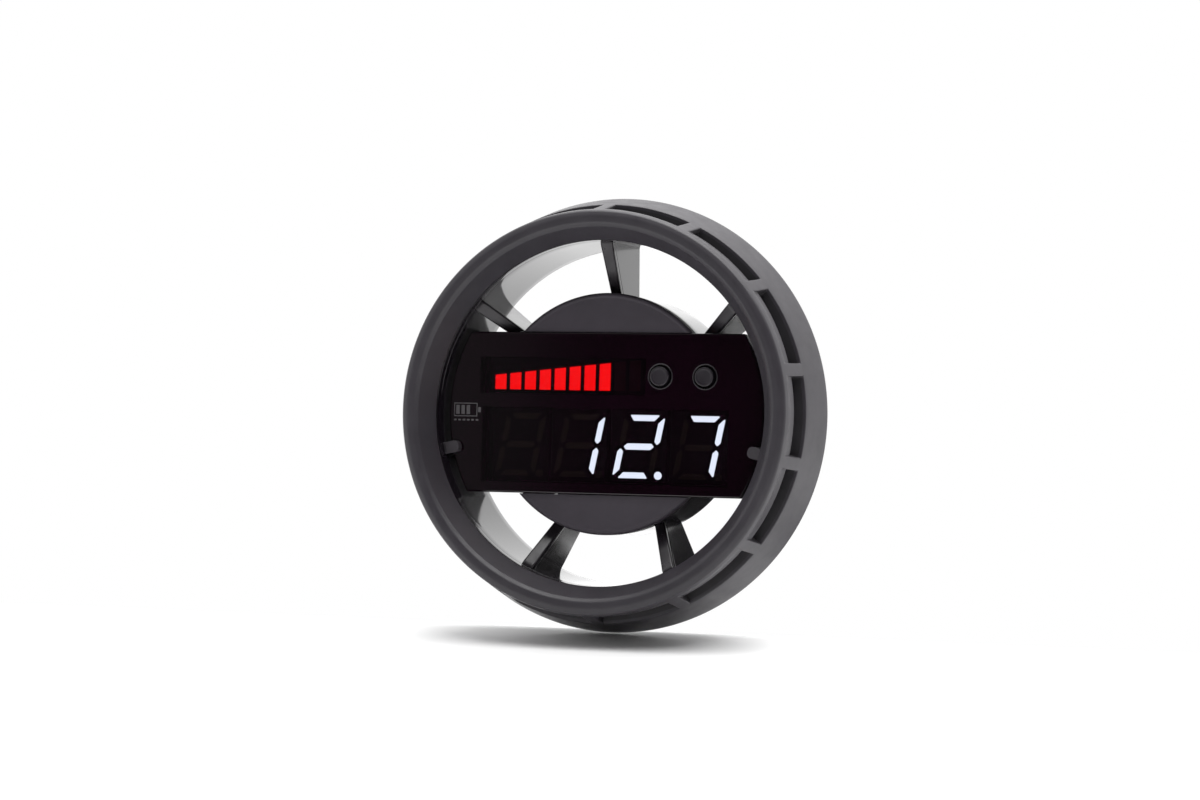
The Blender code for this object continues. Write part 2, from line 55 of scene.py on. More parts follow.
# =====================================================================================
# materials
# =====================================================================================
class Nodes:
    """A Principled material with a few procedural layers on it."""

    def __init__(self, name, rgb, rough, metal=0.0, specular=0.5, coat=0.0, coat_rough=0.05, sheen=0.0, sheen_rough=0.5, ior=1.5):
        self.m = bpy.data.materials.new(name)
        self.m.use_nodes = True
        self.nt = self.m.node_tree
        self.p = self.nt.nodes["Principled BSDF"]
        self.rgb = rgb
        self.p.inputs["Base Color"].default_value = (*rgb, 1.0)
        self.p.inputs["Roughness"].default_value = rough
        self.p.inputs["Metallic"].default_value = metal
        self.p.inputs["IOR"].default_value = ior
        self.p.inputs["Specular IOR Level"].default_value = specular
        if coat:
            self.p.inputs["Coat Weight"].default_value = coat
            self.p.inputs["Coat Roughness"].default_value = coat_rough
        if sheen:
            self.p.inputs["Sheen Weight"].default_value = sheen
            self.p.inputs["Sheen Roughness"].default_value = sheen_rough
        self.co = self.nt.nodes.new("ShaderNodeTexCoord").outputs["Object"]
        self.normal = None

    def node(self, kind, **values):
        n = self.nt.nodes.new(kind)
        for k, v in values.items():
            setattr(n, k, v)
        return n

    def join(self, a, b):
        self.nt.links.new(a, b)

    def noise(self, scale, detail=3.0, rough=0.55, stretch=None):
        n = self.node("ShaderNodeTexNoise")
        n.inputs["Scale"].default_value = scale
        n.inputs["Detail"].default_value = detail
        n.inputs["Roughness"].default_value = rough
        if stretch:
            mp = self.node("ShaderNodeMapping")
            mp.inputs["Scale"].default_value = stretch
            self.join(self.co, mp.inputs["Vector"])
            self.join(mp.outputs["Vector"], n.inputs["Vector"])
        else:
            self.join(self.co, n.inputs["Vector"])
        return n.outputs["Fac"]

    def cells(self, scale, feature="F1"):
        n = self.node("ShaderNodeTexVoronoi", feature=feature)
        n.inputs["Scale"].default_value = scale
        self.join(self.co, n.inputs["Vector"])
        return n.outputs["Distance"]

    def ramp(self, fac, low, high, a=0.3, b=0.7):
        n = self.node("ShaderNodeMapRange")
        n.inputs["From Min"].default_value = a
        n.inputs["From Max"].default_value = b
        n.inputs["To Min"].default_value = low
        n.inputs["To Max"].default_value = high
        self.join(fac, n.inputs["Value"])
        return n.outputs["Result"]

    def colour(self, fac, c0, c1, a=0.3, b=0.7):
        n = self.node("ShaderNodeValToRGB")
        n.color_ramp.elements[0].position = a
        n.color_ramp.elements[0].color = (*c0, 1.0)
        n.color_ramp.elements[1].position = b
        n.color_ramp.elements[1].color = (*c1, 1.0)
        self.join(fac, n.inputs["Fac"])
        self.join(n.outputs["Color"], self.p.inputs["Base Color"])
        return n.outputs["Color"]

    def tint(self, fac, share):
        """Base colour varies by +-share with fac."""
        return self.colour(fac, tuple(c * (1 - share) for c in self.rgb), tuple(c * (1 + share) for c in self.rgb))

    def rough(self, fac, low, high):
        self.join(self.ramp(fac, low, high), self.p.inputs["Roughness"])

    def bump(self, height, distance, strength=1.0):
        n = self.node("ShaderNodeBump")
        n.inputs["Strength"].default_value = strength
        n.inputs["Distance"].default_value = distance
        self.join(height, n.inputs["Height"])
        if self.normal is not None:
            self.join(self.normal, n.inputs["Normal"])
        self.normal = n.outputs["Normal"]
        self.join(self.normal, self.p.inputs["Normal"])

    def glow(self, rgb, strength):
        self.p.inputs["Emission Color"].default_value = (*rgb, 1.0)
        self.p.inputs["Emission Strength"].default_value = strength


def soft_touch(name, rgb, rough=0.5, specular=0.5, sheen=0.0):
    """Rubbery soft-touch paint over moulded plastic: a very fine matt grain."""
    t = Nodes(name, rgb, rough, specular=specular, sheen=sheen, sheen_rough=0.4)
    t.tint(t.noise(220.0, 4.0), 0.09)
    t.rough(t.noise(420.0, 3.0), rough - 0.04, rough + 0.05)
    t.bump(t.noise(5200.0, 2.0), 0.000006, 0.5)
    return t.m


def gloss(name, rgb, rough=0.07):
    """Piano-black moulding: faint flow waviness, a few wiping marks in the polish."""
    t = Nodes(name, rgb, rough)
    t.tint(t.noise(90.0, 2.0), 0.15)
    t.rough(t.noise(260.0, 4.0, stretch=(1.0, 0.25, 1.0)), rough * 0.75, rough * 1.5)
    t.bump(t.noise(70.0, 1.0), 0.00002, 0.25)
    return t.m


def moulded(name, rgb, rough=0.5, grain=2600.0, depth=0.000012):
    """Spark-eroded mould texture on plastic."""
    t = Nodes(name, rgb, rough)
    t.tint(t.noise(180.0, 3.0), 0.10)
    t.rough(t.noise(700.0, 3.0), rough - 0.06, rough + 0.07)
    t.bump(t.noise(grain, 3.0, 0.6), depth, 0.6)
    return t.m


def metal(name, rgb, rough=0.3, stretch=(1.0, 1.0, 1.0), scale=900.0):
    t = Nodes(name, rgb, rough, metal=1.0)
    t.tint(t.noise(scale * 0.3, 3.0, stretch=stretch), 0.08)
    t.rough(t.noise(scale, 4.0, stretch=stretch), rough * 0.75, rough * 1.35)
    t.bump(t.noise(scale * 2.0, 2.0, stretch=stretch), 0.000004, 0.5)
    return t.m


SOFT = soft_touch("soft_touch_grey", (0.0330, 0.0295, 0.0360), 0.43, specular=0.43)
# a darker copy of the soft-touch grey for the pockets' floors: painted shade
SOFT_RECESS_SHADE = soft_touch("soft_touch_grey_painted_shade", (0.0140, 0.0125, 0.0155), 0.55)
CAP = soft_touch("hub_face_matt", (0.0375, 0.0305, 0.0410), 0.62)
TONGUE = soft_touch("tongue_matt", (0.0450, 0.0400, 0.0470), 0.5)
GLOSS = gloss("gloss_black", (0.0095, 0.0072, 0.0105), 0.09)
GLOSS_HUB = gloss("gloss_black_hub", (0.0095, 0.0072, 0.0105), 0.13)
SPOKE = gloss("gloss_black_spoke", (0.0110, 0.0085, 0.0120), 0.17)
SPOKE_EDGE = gloss("gloss_black_spoke_edge", (0.0180, 0.0150, 0.0190), 0.33)
LENS_EDGE = gloss("lens_edge_black", (0.0030, 0.0020, 0.0028), 0.16)
# a lighter grey for the button caps' chamfers and the rings in the lens's holes: painted highlight
RIM_PAINTED_HIGHLIGHT = moulded("moulded_rim_grey_painted_highlight", (0.030, 0.027, 0.031), 0.35, grain=5200.0, depth=0.000003)
SATIN = moulded("satin_black", (0.026, 0.025, 0.027), 0.45)
SATIN_FINE = moulded("satin_black_fine", (0.020, 0.019, 0.021), 0.38, grain=4200.0, depth=0.000006)
BUTTON = moulded("button_black", (0.0120, 0.0085, 0.0135), 0.42, grain=5200.0, depth=0.000005)
LEDFACE = moulded("led_block_black", (0.0035, 0.0030, 0.0034), 0.55, grain=4000.0, depth=0.000004)
EPOXY = moulded("chip_epoxy", (0.018, 0.018, 0.020), 0.55, grain=3400.0, depth=0.000008)
ZINC = metal("zinc_plated", (0.60, 0.60, 0.62), 0.28)
STEEL = metal("spring_steel", (0.45, 0.45, 0.46), 0.32, stretch=(1.0, 8.0, 1.0))
GOLD = metal("plated_pin", (0.78, 0.62, 0.30), 0.22)


def foam():
    t = Nodes("black_foam", (0.020, 0.020, 0.020), 0.95)
    t.tint(t.cells(1500.0), 0.4)
    t.bump(t.cells(2200.0), 0.00008, 0.8)
    return t.m


def felt():
    t = Nodes("black_felt", (0.016, 0.016, 0.016), 1.0, sheen=0.4)
    t.tint(t.noise(1800.0, 6.0, 0.7, stretch=(1.0, 0.3, 1.0)), 0.5)
    t.bump(t.noise(3000.0, 6.0, 0.7, stretch=(1.0, 0.3, 1.0)), 0.00008, 0.8)
    return t.m


def nylon():
    t = Nodes("white_nylon", (0.66, 0.63, 0.56), 0.42)
    t.p.inputs["Subsurface Weight"].default_value = 0.15
    t.p.inputs["Subsurface Radius"].default_value = (0.001, 0.0009, 0.0007)
    t.tint(t.noise(300.0, 3.0), 0.05)
    t.rough(t.noise(800.0, 3.0), 0.36, 0.5)
    t.bump(t.noise(1500.0, 3.0), 0.00001, 0.5)
    return t.m


def board_green():
    """Solder mask with the copper under it showing as slightly lighter tracks and a ground fill."""
    t = Nodes("board_green", (0.008, 0.060, 0.028), 0.32)
    brick = t.node("ShaderNodeTexBrick")
    brick.inputs["Scale"].default_value = 420.0
    brick.inputs["Mortar Size"].default_value = 0.06
    brick.inputs["Color1"].default_value = (0.010, 0.075, 0.034, 1)
    brick.inputs["Color2"].default_value = (0.013, 0.090, 0.040, 1)
    brick.inputs["Mortar"].default_value = (0.005, 0.038, 0.018, 1)
    mp = t.node("ShaderNodeMapping")
    mp.inputs["Rotation"].default_value = (math.radians(90), 0.0, 0.0)
    t.join(t.co, mp.inputs["Vector"])
    t.join(mp.outputs["Vector"], brick.inputs["Vector"])
    t.join(brick.outputs["Color"], t.p.inputs["Base Color"])
    t.rough(t.noise(900.0, 3.0), 0.25, 0.42)
    t.bump(brick.outputs["Fac"], 0.00003, -0.5)
    return t.m


def ceramic_tan():
    t = Nodes("ceramic_tan", (0.38, 0.26, 0.15), 0.5)
    t.tint(t.noise(2500.0, 4.0), 0.12)
    t.bump(t.noise(4000.0, 3.0), 0.000008, 0.6)
    return t.m


FOAM, FELT, NYLON, GREEN, TAN = foam(), felt(), nylon(), board_green(), ceramic_tan()

LENS_CLEAR = 0.20            # share of the light that the smoked windows let through, both faces together
WINDOWS = ((-23.2, 7.4, 3.3, 9.7), (-22.6, 22.6, -12.2, 0.9))   # x0, x1, z0, z1 of the clear windows


def smoked():
    """Smoked acrylic, printed solid black on its back except for two windows."""
    t = Nodes("smoked_acrylic", (0.0046, 0.0006, 0.0030), 0.045)
    t.tint(t.noise(60.0, 2.0), 0.2)
    t.rough(t.noise(300.0, 4.0), 0.035, 0.065)
    sep = t.node("ShaderNodeSeparateXYZ")
    t.join(t.co, sep.inputs[0])

    def step(socket, low, high):
        """1 between low and high (mm), with a 0.15 mm soft edge."""
        out = []
        for edge, sign in ((low, 1.0), (high, -1.0)):
            n = t.node("ShaderNodeMapRange")
            n.inputs["From Min"].default_value = (edge - 0.075 * sign) * MM
            n.inputs["From Max"].default_value = (edge + 0.075 * sign) * MM
            t.join(socket, n.inputs["Value"])
            out.append(n.outputs["Result"])
        m = t.node("ShaderNodeMath", operation="MULTIPLY")
        t.join(out[0], m.inputs[0])
        t.join(out[1], m.inputs[1])
        return m.outputs[0]

    total = None
    for x0, x1, z0, z1 in WINDOWS:
        m = t.node("ShaderNodeMath", operation="MULTIPLY")
        t.join(step(sep.outputs["X"], x0, x1), m.inputs[0])
        t.join(step(sep.outputs["Z"], z0, z1), m.inputs[1])
        if total is None:
            total = m.outputs[0]
        else:
            a = t.node("ShaderNodeMath", operation="MAXIMUM")
            t.join(total, a.inputs[0])
            t.join(m.outputs[0], a.inputs[1])
            total = a.outputs[0]
    alpha = t.node("ShaderNodeMapRange")
    alpha.inputs["To Min"].default_value = 1.0
    alpha.inputs["To Max"].default_value = 1.0 - math.sqrt(LENS_CLEAR)
    t.join(total, alpha.inputs["Value"])
    t.join(alpha.outputs["Result"], t.p.inputs["Alpha"])
    return t.m


LENS = smoked()


def lit(name, rgb, strength):
    """A lit LED window: a diffuser."""
    t = Nodes(name, (0.25, 0.25, 0.25), 0.5)
    t.tint(t.noise(1500.0, 2.0), 0.1)
    t.bump(t.noise(4000.0, 2.0), 0.000004, 0.4)
    t.glow(rgb, strength / LENS_CLEAR)
    return t.m


def unlit(name, rgb):
    t = Nodes(name, rgb, 0.6)
    t.tint(t.noise(1500.0, 2.0), 0.15)
    t.bump(t.noise(4000.0, 2.0), 0.000004, 0.4)
    return t.m


LIT_RED = lit("led_red_lit", (1.0, 0.0, 0.001), 0.88)
LIT_WHITE = lit("led_white_lit", (0.79, 0.85, 1.0), 0.98)
OFF_RED = unlit("led_red_unlit", (0.085, 0.006, 0.018))
OFF_WHITE = unlit("led_white_unlit", (0.070, 0.058, 0.030))
MARK = moulded("printed_grey", (0.085, 0.080, 0.085), 0.5, grain=5000.0, depth=0.000003)

# =====================================================================================
# mesh helpers
# =====================================================================================


def finish_mesh(name, bm_or_data, mat, body, replaces=(), sharp=32.0, flat_over=5.0):
    """Links a mesh as a piece on a body."""
    if isinstance(bm_or_data, tuple):
        me = bpy.data.meshes.new(name)
        me.from_pydata(*[a.tolist() if hasattr(a, "tolist") else a for a in (bm_or_data[0],)], [], bm_or_data[1])
        bm = bmesh.new()
        bm.from_mesh(me)
    else:
        me = bpy.data.meshes.new(name)
        bm = bm_or_data
    bmesh.ops.recalc_face_normals(bm, faces=bm.faces)
    bm.to_mesh(me)
    bm.free()
    me.materials.append(mat)
    me.shade_smooth()
    me.set_sharp_from_angle(angle=math.radians(sharp))
    if flat_over:                    # broad faces stay flat, and only the rounds along their edges are smooth (mm2)
        for f in me.polygons:
            if f.area > flat_over * MM * MM or (len(f.vertices) > 4 and f.area > 0.02 * MM * MM):
                f.use_smooth = False
    ob = bpy.data.objects.new(name, me)
    bpy.context.scene.collection.objects.link(ob)
    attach(ob, body)
    if replaces:
        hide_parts(*replaces)
    return ob


def fillet(points, radii, steps=6, closed=True):
    """A polyline with its corners rounded.  radii: one for all, or one for each point."""
    n = len(points)
    if not hasattr(radii, "__len__"):
        radii = [radii] * n
    out = []
    for i in range(n):
        p = np.array(points[i], float)
        if radii[i] <= 0 or (not closed and i in (0, n - 1)):
            out.append(tuple(p))
            continue
        a = np.array(points[i - 1], float) - p
        b = np.array(points[(i + 1) % n], float) - p
        la, lb = np.linalg.norm(a), np.linalg.norm(b)
        a, b = a / la, b / lb
        ang = math.acos(max(-1.0, min(1.0, float(a @ b))))
        if abs(math.pi - ang) < 1e-3:
            out.append(tuple(p))
            continue
        d = min(radii[i] / math.tan(ang / 2), 0.49 * la, 0.49 * lb)
        r = d * math.tan(ang / 2)
        c = p + (a + b) / np.linalg.norm(a + b) * (r / math.sin(ang / 2))
        t0, t1 = p + a * d - c, p + b * d - c
        w = math.acos(max(-1.0, min(1.0, float(t0 @ t1) / (r * r))))
        for k in range(steps + 1):
            f = k / steps
            if w < 1e-6:
                q = t0
            else:
                q = (math.sin((1 - f) * w) * t0 + math.sin(f * w) * t1) / math.sin(w)
            out.append(tuple(c + q))
    return out


def dense(points, longest, closed=True):
    """Splits long edges of a polyline."""
    out = []
    n = len(points)
    for i in range(n if closed else n - 1):
        p, q = np.array(points[i], float), np.array(points[(i + 1) % n], float)
        k = max(1, math.ceil(float(np.linalg.norm(q - p)) / longest))
        for j in range(k):
            out.append(tuple(p + (q - p) * j / k))
    if not closed:
        out.append(tuple(points[-1]))
    return out


def revolve(name, profile, segments, mat, body, centre=(0.0, 0.0), replaces=(), closed=True, sharp=32.0):
    """A turned piece about the line parallel to Y through centre (x, z), in mm."""
    verts, rows = [], []
    for r, s in profile:
        if r < 1e-6:
            rows.append([len(verts)])
            verts.append((centre[0] * MM, Y(s), centre[1] * MM))
        else:
            rows.append(list(range(len(verts), len(verts) + segments)))
            for i in range(segments):
                a = 2 * math.pi * i / segments
                verts.append(((centre[0] + r * math.cos(a)) * MM, Y(s), (centre[1] + r * math.sin(a)) * MM))
    faces = []
    n = len(rows)
    for j in range(n if closed else n - 1):
        a, b = rows[j], rows[(j + 1) % n]
        if len(a) == 1 and len(b) == 1:
            continue
        for i in range(segments):
            k = (i + 1) % segments
            if len(a) == 1:
                faces.append((a[0], b[k], b[i]))
            elif len(b) == 1:
                faces.append((a[i], a[k], b[0]))
            else:
                faces.append((a[i], a[k], b[k], b[i]))
    return finish_mesh(name, (verts, faces), mat, body, replaces, sharp)


def outline_bm(outline, s0, s1):
    """Bmesh of a flat outline (x, z in mm) from station s0 to s1."""
    bm = bmesh.new()
    front = [bm.verts.new((x * MM, Y(s0), z * MM)) for x, z in outline]
    rear = [bm.verts.new((x * MM, Y(s1), z * MM)) for x, z in outline]
    bm.faces.new(front)
    bm.faces.new(rear[::-1])
    n = len(outline)
    for i in range(n):
        bm.faces.new((front[i], front[(i + 1) % n], rear[(i + 1) % n], rear[i]))
    bmesh.ops.recalc_face_normals(bm, faces=bm.faces)
    return bm


def temp(bm, name="tool"):
    me = bpy.data.meshes.new(name)
    bm.to_mesh(me)
    bm.free()
    ob = bpy.data.objects.new(name, me)
    bpy.context.scene.collection.objects.link(ob)
    return ob


def box_bm(x, s, z, turn=0.0):
    """Bmesh of a box, turned about the Y axis by turn degrees (anticlockwise seen from the front)."""
    bm = bmesh.new()
    bmesh.ops.create_cube(bm, size=1.0)
    for v in bm.verts:
        v.co = ((x[1] if v.co.x > 0 else x[0]) * MM, Y(s[1] if v.co.y > 0 else s[0]), (z[1] if v.co.z > 0 else z[0]) * MM)
    if turn:
        bmesh.ops.rotate(bm, verts=bm.verts, cent=(0, 0, 0), matrix=Matrix.Rotation(math.radians(-turn), 3, "Y"))
    return bm


def rod_bm(x, z, s, r, segments=48):
    bm = bmesh.new()
    bmesh.ops.create_cone(bm, cap_ends=True, segments=segments, radius1=r * MM, radius2=r * MM, depth=(s[1] - s[0]) * MM)
    bmesh.ops.rotate(bm, verts=bm.verts, cent=(0, 0, 0), matrix=Matrix.Rotation(math.radians(90), 3, "X"))
    bmesh.ops.translate(bm, verts=bm.verts, vec=(x * MM, Y((s[0] + s[1]) / 2), z * MM))
    return bm


def shaped(bm, cuts=(), joins=(), bevel=0.0, steps=3, angle=35.0):
    """Carves and rounds a bmesh with Blender's modifiers and returns the result as a new bmesh."""
    ob = temp(bm, "work")
    tools = []
    for operation, items in (("UNION", joins), ("DIFFERENCE", cuts)):
        for c in items:
            t = temp(c)
            tools.append(t)
            m = ob.modifiers.new("c", "BOOLEAN")
            m.operation = operation
            m.solver = "EXACT"
            m.object = t
    if bevel:
        b = ob.modifiers.new("b", "BEVEL")
        b.width = bevel * MM
        b.segments = steps
        b.limit_method = "ANGLE"
        b.angle_limit = math.radians(angle)
        b.use_clamp_overlap = True
        b.miter_outer = "MITER_ARC"
    bpy.context.view_layer.update()
    me = bpy.data.meshes.new_from_object(ob.evaluated_get(bpy.context.evaluated_depsgraph_get()))
    out = bmesh.new()
    out.from_mesh(me)
    bmesh.ops.remove_doubles(out, verts=out.verts, dist=0.0000005)
    for t in [ob] + tools:
        data = t.data
        bpy.data.objects.remove(t, do_unlink=True)
        bpy.data.meshes.remove(data)
    bpy.data.meshes.remove(me)
    return out


def merge_bm(*parts):
    """Several closed bodies in one mesh."""
    me = bpy.data.meshes.new("m")
    out = bmesh.new()
    for p in parts:
        p.to_mesh(me)
        p.free()
        out.from_mesh(me)
    bpy.data.meshes.remove(me)
    return out


def arc(r, a0, a1, n, c=(0.0, 0.0)):
    return [(c[0] + r * math.cos(math.radians(a0 + (a1 - a0) * i / n)),
             c[1] + r * math.sin(math.radians(a0 + (a1 - a0) * i / n))) for i in range(n + 1)]


# =====================================================================================
# grip ring
# =====================================================================================
POCKETS, BRIDGE = 14, 2.25
POCKET_FRONT, POCKET_REAR = -2.3, 3.45


def cone_r(s):
    return 35.0 + 3.2 * (s + 2.75) / 13.7


def ring_rows():
    """The ring's section, once for a bridge and once for a pocket, row by row."""
    front = fillet([(30.45, 1.3), (30.45, 0.45), (30.05, 0.30), (30.0, 0.15), (31.95, -3.42), (32.6, -4.02), (33.75, -4.1), (34.75, -3.75), (35.0, -2.75),
                    (cone_r(POCKET_FRONT), POCKET_FRONT)],
                   [0.05, 0.1, 0.05, 0.05, 0.55, 0.8, 1.6, 0.7, 0.8, 0.0], steps=9, closed=False)
    front = dense(front, 0.9, closed=False)[:-1]
    rear = fillet([(cone_r(POCKET_REAR), POCKET_REAR), (38.2, 11.0), (37.85, 11.4), (cone_r(11.4) - 1.8, 11.4),
                   (cone_r(4.8) - 1.8, 4.8), (33.3, 4.8), (33.3, 10.2), (31.8, 10.2), (31.8, 1.3)],
                  [0.0, 0.25, 0.15, 0.2, 0.5, 0.5, 0.2, 0.15, 0.0], steps=5, closed=False)
    rear = dense(rear, 1.2, closed=False)[1:]
    # the pocket: flank, drop, floor, rear wall, and the rounded edge onto the cone
    e = 0.22
    pocket = fillet([(cone_r(POCKET_FRONT), POCKET_FRONT), (35.02, -1.6), (35.08, 0.7), (33.9, 1.35), (33.9, POCKET_REAR - 0.12),
                     (cone_r(POCKET_REAR) - 0.02, POCKET_REAR - 0.06), (cone_r(POCKET_REAR + 0.5), POCKET_REAR + 0.5)],
                    [0.0, 0.3, 0.3, 0.2, 0.3, e, 0.0], steps=6, closed=False)
    pocket = dense(pocket, 0.45, closed=False)[:-1]
    lengths = [0.0]
    for a, b in zip(pocket, pocket[1:]):
        lengths.append(lengths[-1] + math.dist(a, b))
    last_s = pocket[-1][1]
    bridge = []
    for (r, s), d in zip(pocket, lengths):
        # the same rows on the cone's surface, evenly by station
        f = d / lengths[-1]
        ss = POCKET_FRONT + (last_s - POCKET_FRONT) * f
        bridge.append((cone_r(ss), ss))
    return front, bridge, pocket, rear


def grip_ring_mesh():
    front, bridge, pocket, rear = ring_rows()
    n_front, n_zone, n_rear = len(front), len(bridge), len(rear)
    # columns of one period: (offset in mm from the bridge's middle or None, share of pocket, place between bridges)
    h = BRIDGE / 2
    top_r, low_r = 0.22, 0.25
    side = []                                       # offset from the bridge's middle, depth share (0 surface .. 1 floor)
    for k in range(4):
        side.append(((h - top_r) * k / 4, 0.0))
    for k in range(6):
        a = math.radians(90 * k / 5)
        side.append((h - top_r + top_r * math.sin(a), ("top", top_r * (1 - math.cos(a)))))
    for k in range(6):
        a = math.radians(90 * k / 5)
        side.append((h + 0.02 + low_r * (1 - math.cos(a)), ("low", low_r * (1 - math.sin(a)))))
    inner_off = side[-1][0]
    mids = 22
    columns = [(o, w, None) for o, w in side]
    columns += [(None, 1.0, (k + 1) / (mids + 1)) for k in range(mids)]
    columns += [(-o, w, None) for o, w in reversed(side[1:])]
    period = 2 * math.pi / POCKETS
    n_col = len(columns) * POCKETS
    n_row = n_front + n_zone + n_rear
    verts = np.zeros((n_col, n_row, 3))
    zone_b, zone_p = np.array(bridge), np.array(pocket)
    gap = np.linalg.norm(zone_b - zone_p, axis=1)
    fr, re = np.array(front), np.array(rear)
    c = 0
    for i in range(POCKETS):
        mid = math.radians(90.0) + period * i
        for off, w, place in columns:
            if w == 0.0:
                share = np.zeros(n_zone)
            elif w == 1.0:
                share = np.ones(n_zone)
            elif w[0] == "top":
                share = np.clip(w[1] / np.maximum(gap, 1e-6), 0, 0.5)
            else:
                share = 1 - np.clip(w[1] / np.maximum(gap, 1e-6), 0, 0.5)
            zone = zone_b * (1 - share[:, None]) + zone_p * share[:, None]
            rows = np.vstack([fr, zone, re])
            ref = np.concatenate([np.full(n_front, 35.0), 0.5 * (zone_b[:, 0] + zone[:, 0]), np.full(n_rear, 36.6)])
            if off is not None:
                theta = mid + off / ref if place is None and off >= 0 else mid + period + off / ref
            else:
                lo = inner_off / ref
                theta = mid + lo + (period - 2 * lo) * place
            verts[c, :, 0] = rows[:, 0] * np.cos(theta) * MM
            verts[c, :, 1] = (rows[:, 1] - 11.4) * MM
            verts[c, :, 2] = rows[:, 0] * np.sin(theta) * MM
            c += 1
    faces = []
    for a in range(n_col):
        b = (a + 1) % n_col
        for j in range(n_row):
            k = (j + 1) % n_row
            faces.append((a * n_row + j, b * n_row + j, b * n_row + k, a * n_row + k))
    return verts.reshape(-1, 3).tolist(), faces


grip = finish_mesh("grip_ring_soft", grip_ring_mesh(), SOFT, RING, ("grip_ring",), sharp=50.0, flat_over=0)
grip.data.materials.append(SOFT_RECESS_SHADE)      # the pockets' floors take a darker copy of the paint: painted shade in the recesses
for f in grip.data.polygons:
    c = f.center
    s_mid = c.y / MM + 11.4
    if 0.9 < s_mid < POCKET_REAR - 0.05 and 33.5 < math.hypot(c.x, c.z) / MM < cone_r(s_mid) - 0.55:
        f.material_index = 1

# =====================================================================================
# barrel, its felt and snap ring, and the hooks
# =====================================================================================
barrel_profile = fillet([(30.03, 0.52), (30.22, 0.58), (30.22, 1.6), (31.45, 1.6), (31.45, 3.2), (30.75, 3.2), (30.75, 5.6), (31.45, 5.6), (31.45, 10.55), (30.75, 10.55),
                         (30.75, 11.75), (31.45, 11.75), (31.45, 17.6), (31.05, 18.0), (29.9, 18.0), (29.9, 1.95),
                         (29.96, 1.90), (29.96, 1.80), (29.9, 1.75), (29.97, 0.60)],
                        [0.03, 0.05, 0.05, 0.15, 0.1, 0.08, 0.08, 0.1, 0.1, 0.08, 0.08, 0.1, 0.25, 0.15, 0.15, 0.02, 0.02, 0.02, 0.02, 0.05], steps=4)
barrel = revolve("vent_barrel_gloss", dense(barrel_profile, 2.0), 480, GLOSS, CORE, replaces=("vent_barrel",))
revolve("friction_ring_felt", dense(fillet([(31.05, 3.5), (31.5, 3.5), (31.5, 5.3), (31.05, 5.3)], 0.12, 4), 0.6), 240, FELT, CORE,
        replaces=("friction_ring",))

# snap ring: a gapped wire-cut ring with an eye at each end
snap = arc(32.9, -82.0, 262.0, 200) + arc(31.05, 262.0, -82.0, 200)
snap_bm = shaped(outline_bm(snap, 10.7, 11.6),
                 cuts=[rod_bm(32.0 * math.cos(math.radians(a)), 32.0 * math.sin(math.radians(a)), (9.0, 13.0), 0.42, 24) for a in (-80.2, 260.2)],
                 bevel=0.12, steps=3, angle=50.0)
finish_mesh("snap_ring_steel", snap_bm, STEEL, CORE, ("snap_ring",))

for i in range(3):
    a = 30.0 + 120.0 * i
    prof = [(31.75, 12.75), (33.45, 12.75), (33.5, 14.6), (32.4, 17.25), (31.75, 17.25)]
    bm = bmesh.new()
    rows = []
    n = 24
    for k in range(n + 1):
        t = math.radians(-6.0 + 12.0 * k / n)
        rows.append([bm.verts.new((r * math.cos(t) * MM, Y(s), r * math.sin(t) * MM)) for r, s in prof])
    m = len(prof)
    for k in range(n):
        for j in range(m):
            bm.faces.new((rows[k][j], rows[k][(j + 1) % m], rows[k + 1][(j + 1) % m], rows[k + 1][j]))
    bm.faces.new(rows[0])
    bm.faces.new(rows[-1][::-1])
    bmesh.ops.recalc_face_normals(bm, faces=bm.faces)
    bmesh.ops.rotate(bm, verts=bm.verts, cent=(0, 0, 0), matrix=Matrix.Rotation(math.radians(-a), 3, "Y"))
    name = "barrel_hook_%d" % (i + 1)
    finish_mesh(name + "_body", shaped(bm, bevel=0.25, steps=3, angle=25.0), SATIN, CORE, (name,))

# =====================================================================================
# spokes
# =====================================================================================
def clipped_disc(r, half_h, n):
    a = math.degrees(math.asin(half_h / r))
    return arc(r, -a, a, n) + arc(r, 180.0 - a, 180.0 + a, n)


def bay_cutters(front_r):
    """The bay of the display module: behind the lens it is wide, in front it ends at front_r."""
    return [outline_bm(clipped_disc(28.6, 13.75, 48), 6.4, 15.9), outline_bm(clipped_disc(front_r, 13.75, 48), -8.0, 6.5)]


def spoke_section(half):
    """Half-width outline of a spoke's section: (side, distance behind the front edge), front bead then plate."""
    bead = fillet([(0.0, 0.0), (half, 0.0), (half, 1.25), (half - 0.24, 1.35), (half - 0.24, 1.62), (half - 0.08, 1.72)],
                  [0, 0.42, 0.10, 0.05, 0.05, 0.05], steps=5, closed=False)
    return bead


def spoke_bm(r0, r1, front0, front1, rear0, rear1, half0, half1, steps=26, foot=True):
    bm = bmesh.new()
    rings = []
    stations = [i / steps for i in range(steps + 1)]
    for f in stations:
        r = r0 + (r1 - r0) * f
        half = half0 + (half1 - half0) * f
        sf, sr = front0 + (front1 - front0) * f, rear0 + (rear1 - rear0) * f
        if foot and f > 0.92:                       # the foot turns down towards the barrel
            sf += 0.35 * (1 - math.cos(math.radians(90) * (f - 0.92) / 0.08))
        sec = spoke_section(half)
        last = sec[-1][0]
        right = [(d, sf + b) for d, b in sec] + [(last, (sf + sr) / 2), (last - 0.02, sr - 0.25), (last - 0.22, sr)]
        left = [(-d, s) for d, s in reversed(right[1:])]
        loop = right + left
        rings.append([bm.verts.new((r * MM, Y(s), d * MM)) for d, s in loop])
    n = len(rings[0])
    for a, b in zip(rings, rings[1:]):
        for j in range(n):
            bm.faces.new((a[j], a[(j + 1) % n], b[(j + 1) % n], b[j]))
    bm.faces.new(rings[0])
    bm.faces.new(rings[-1][::-1])
    bmesh.ops.recalc_face_normals(bm, faces=bm.faces)
    return bm


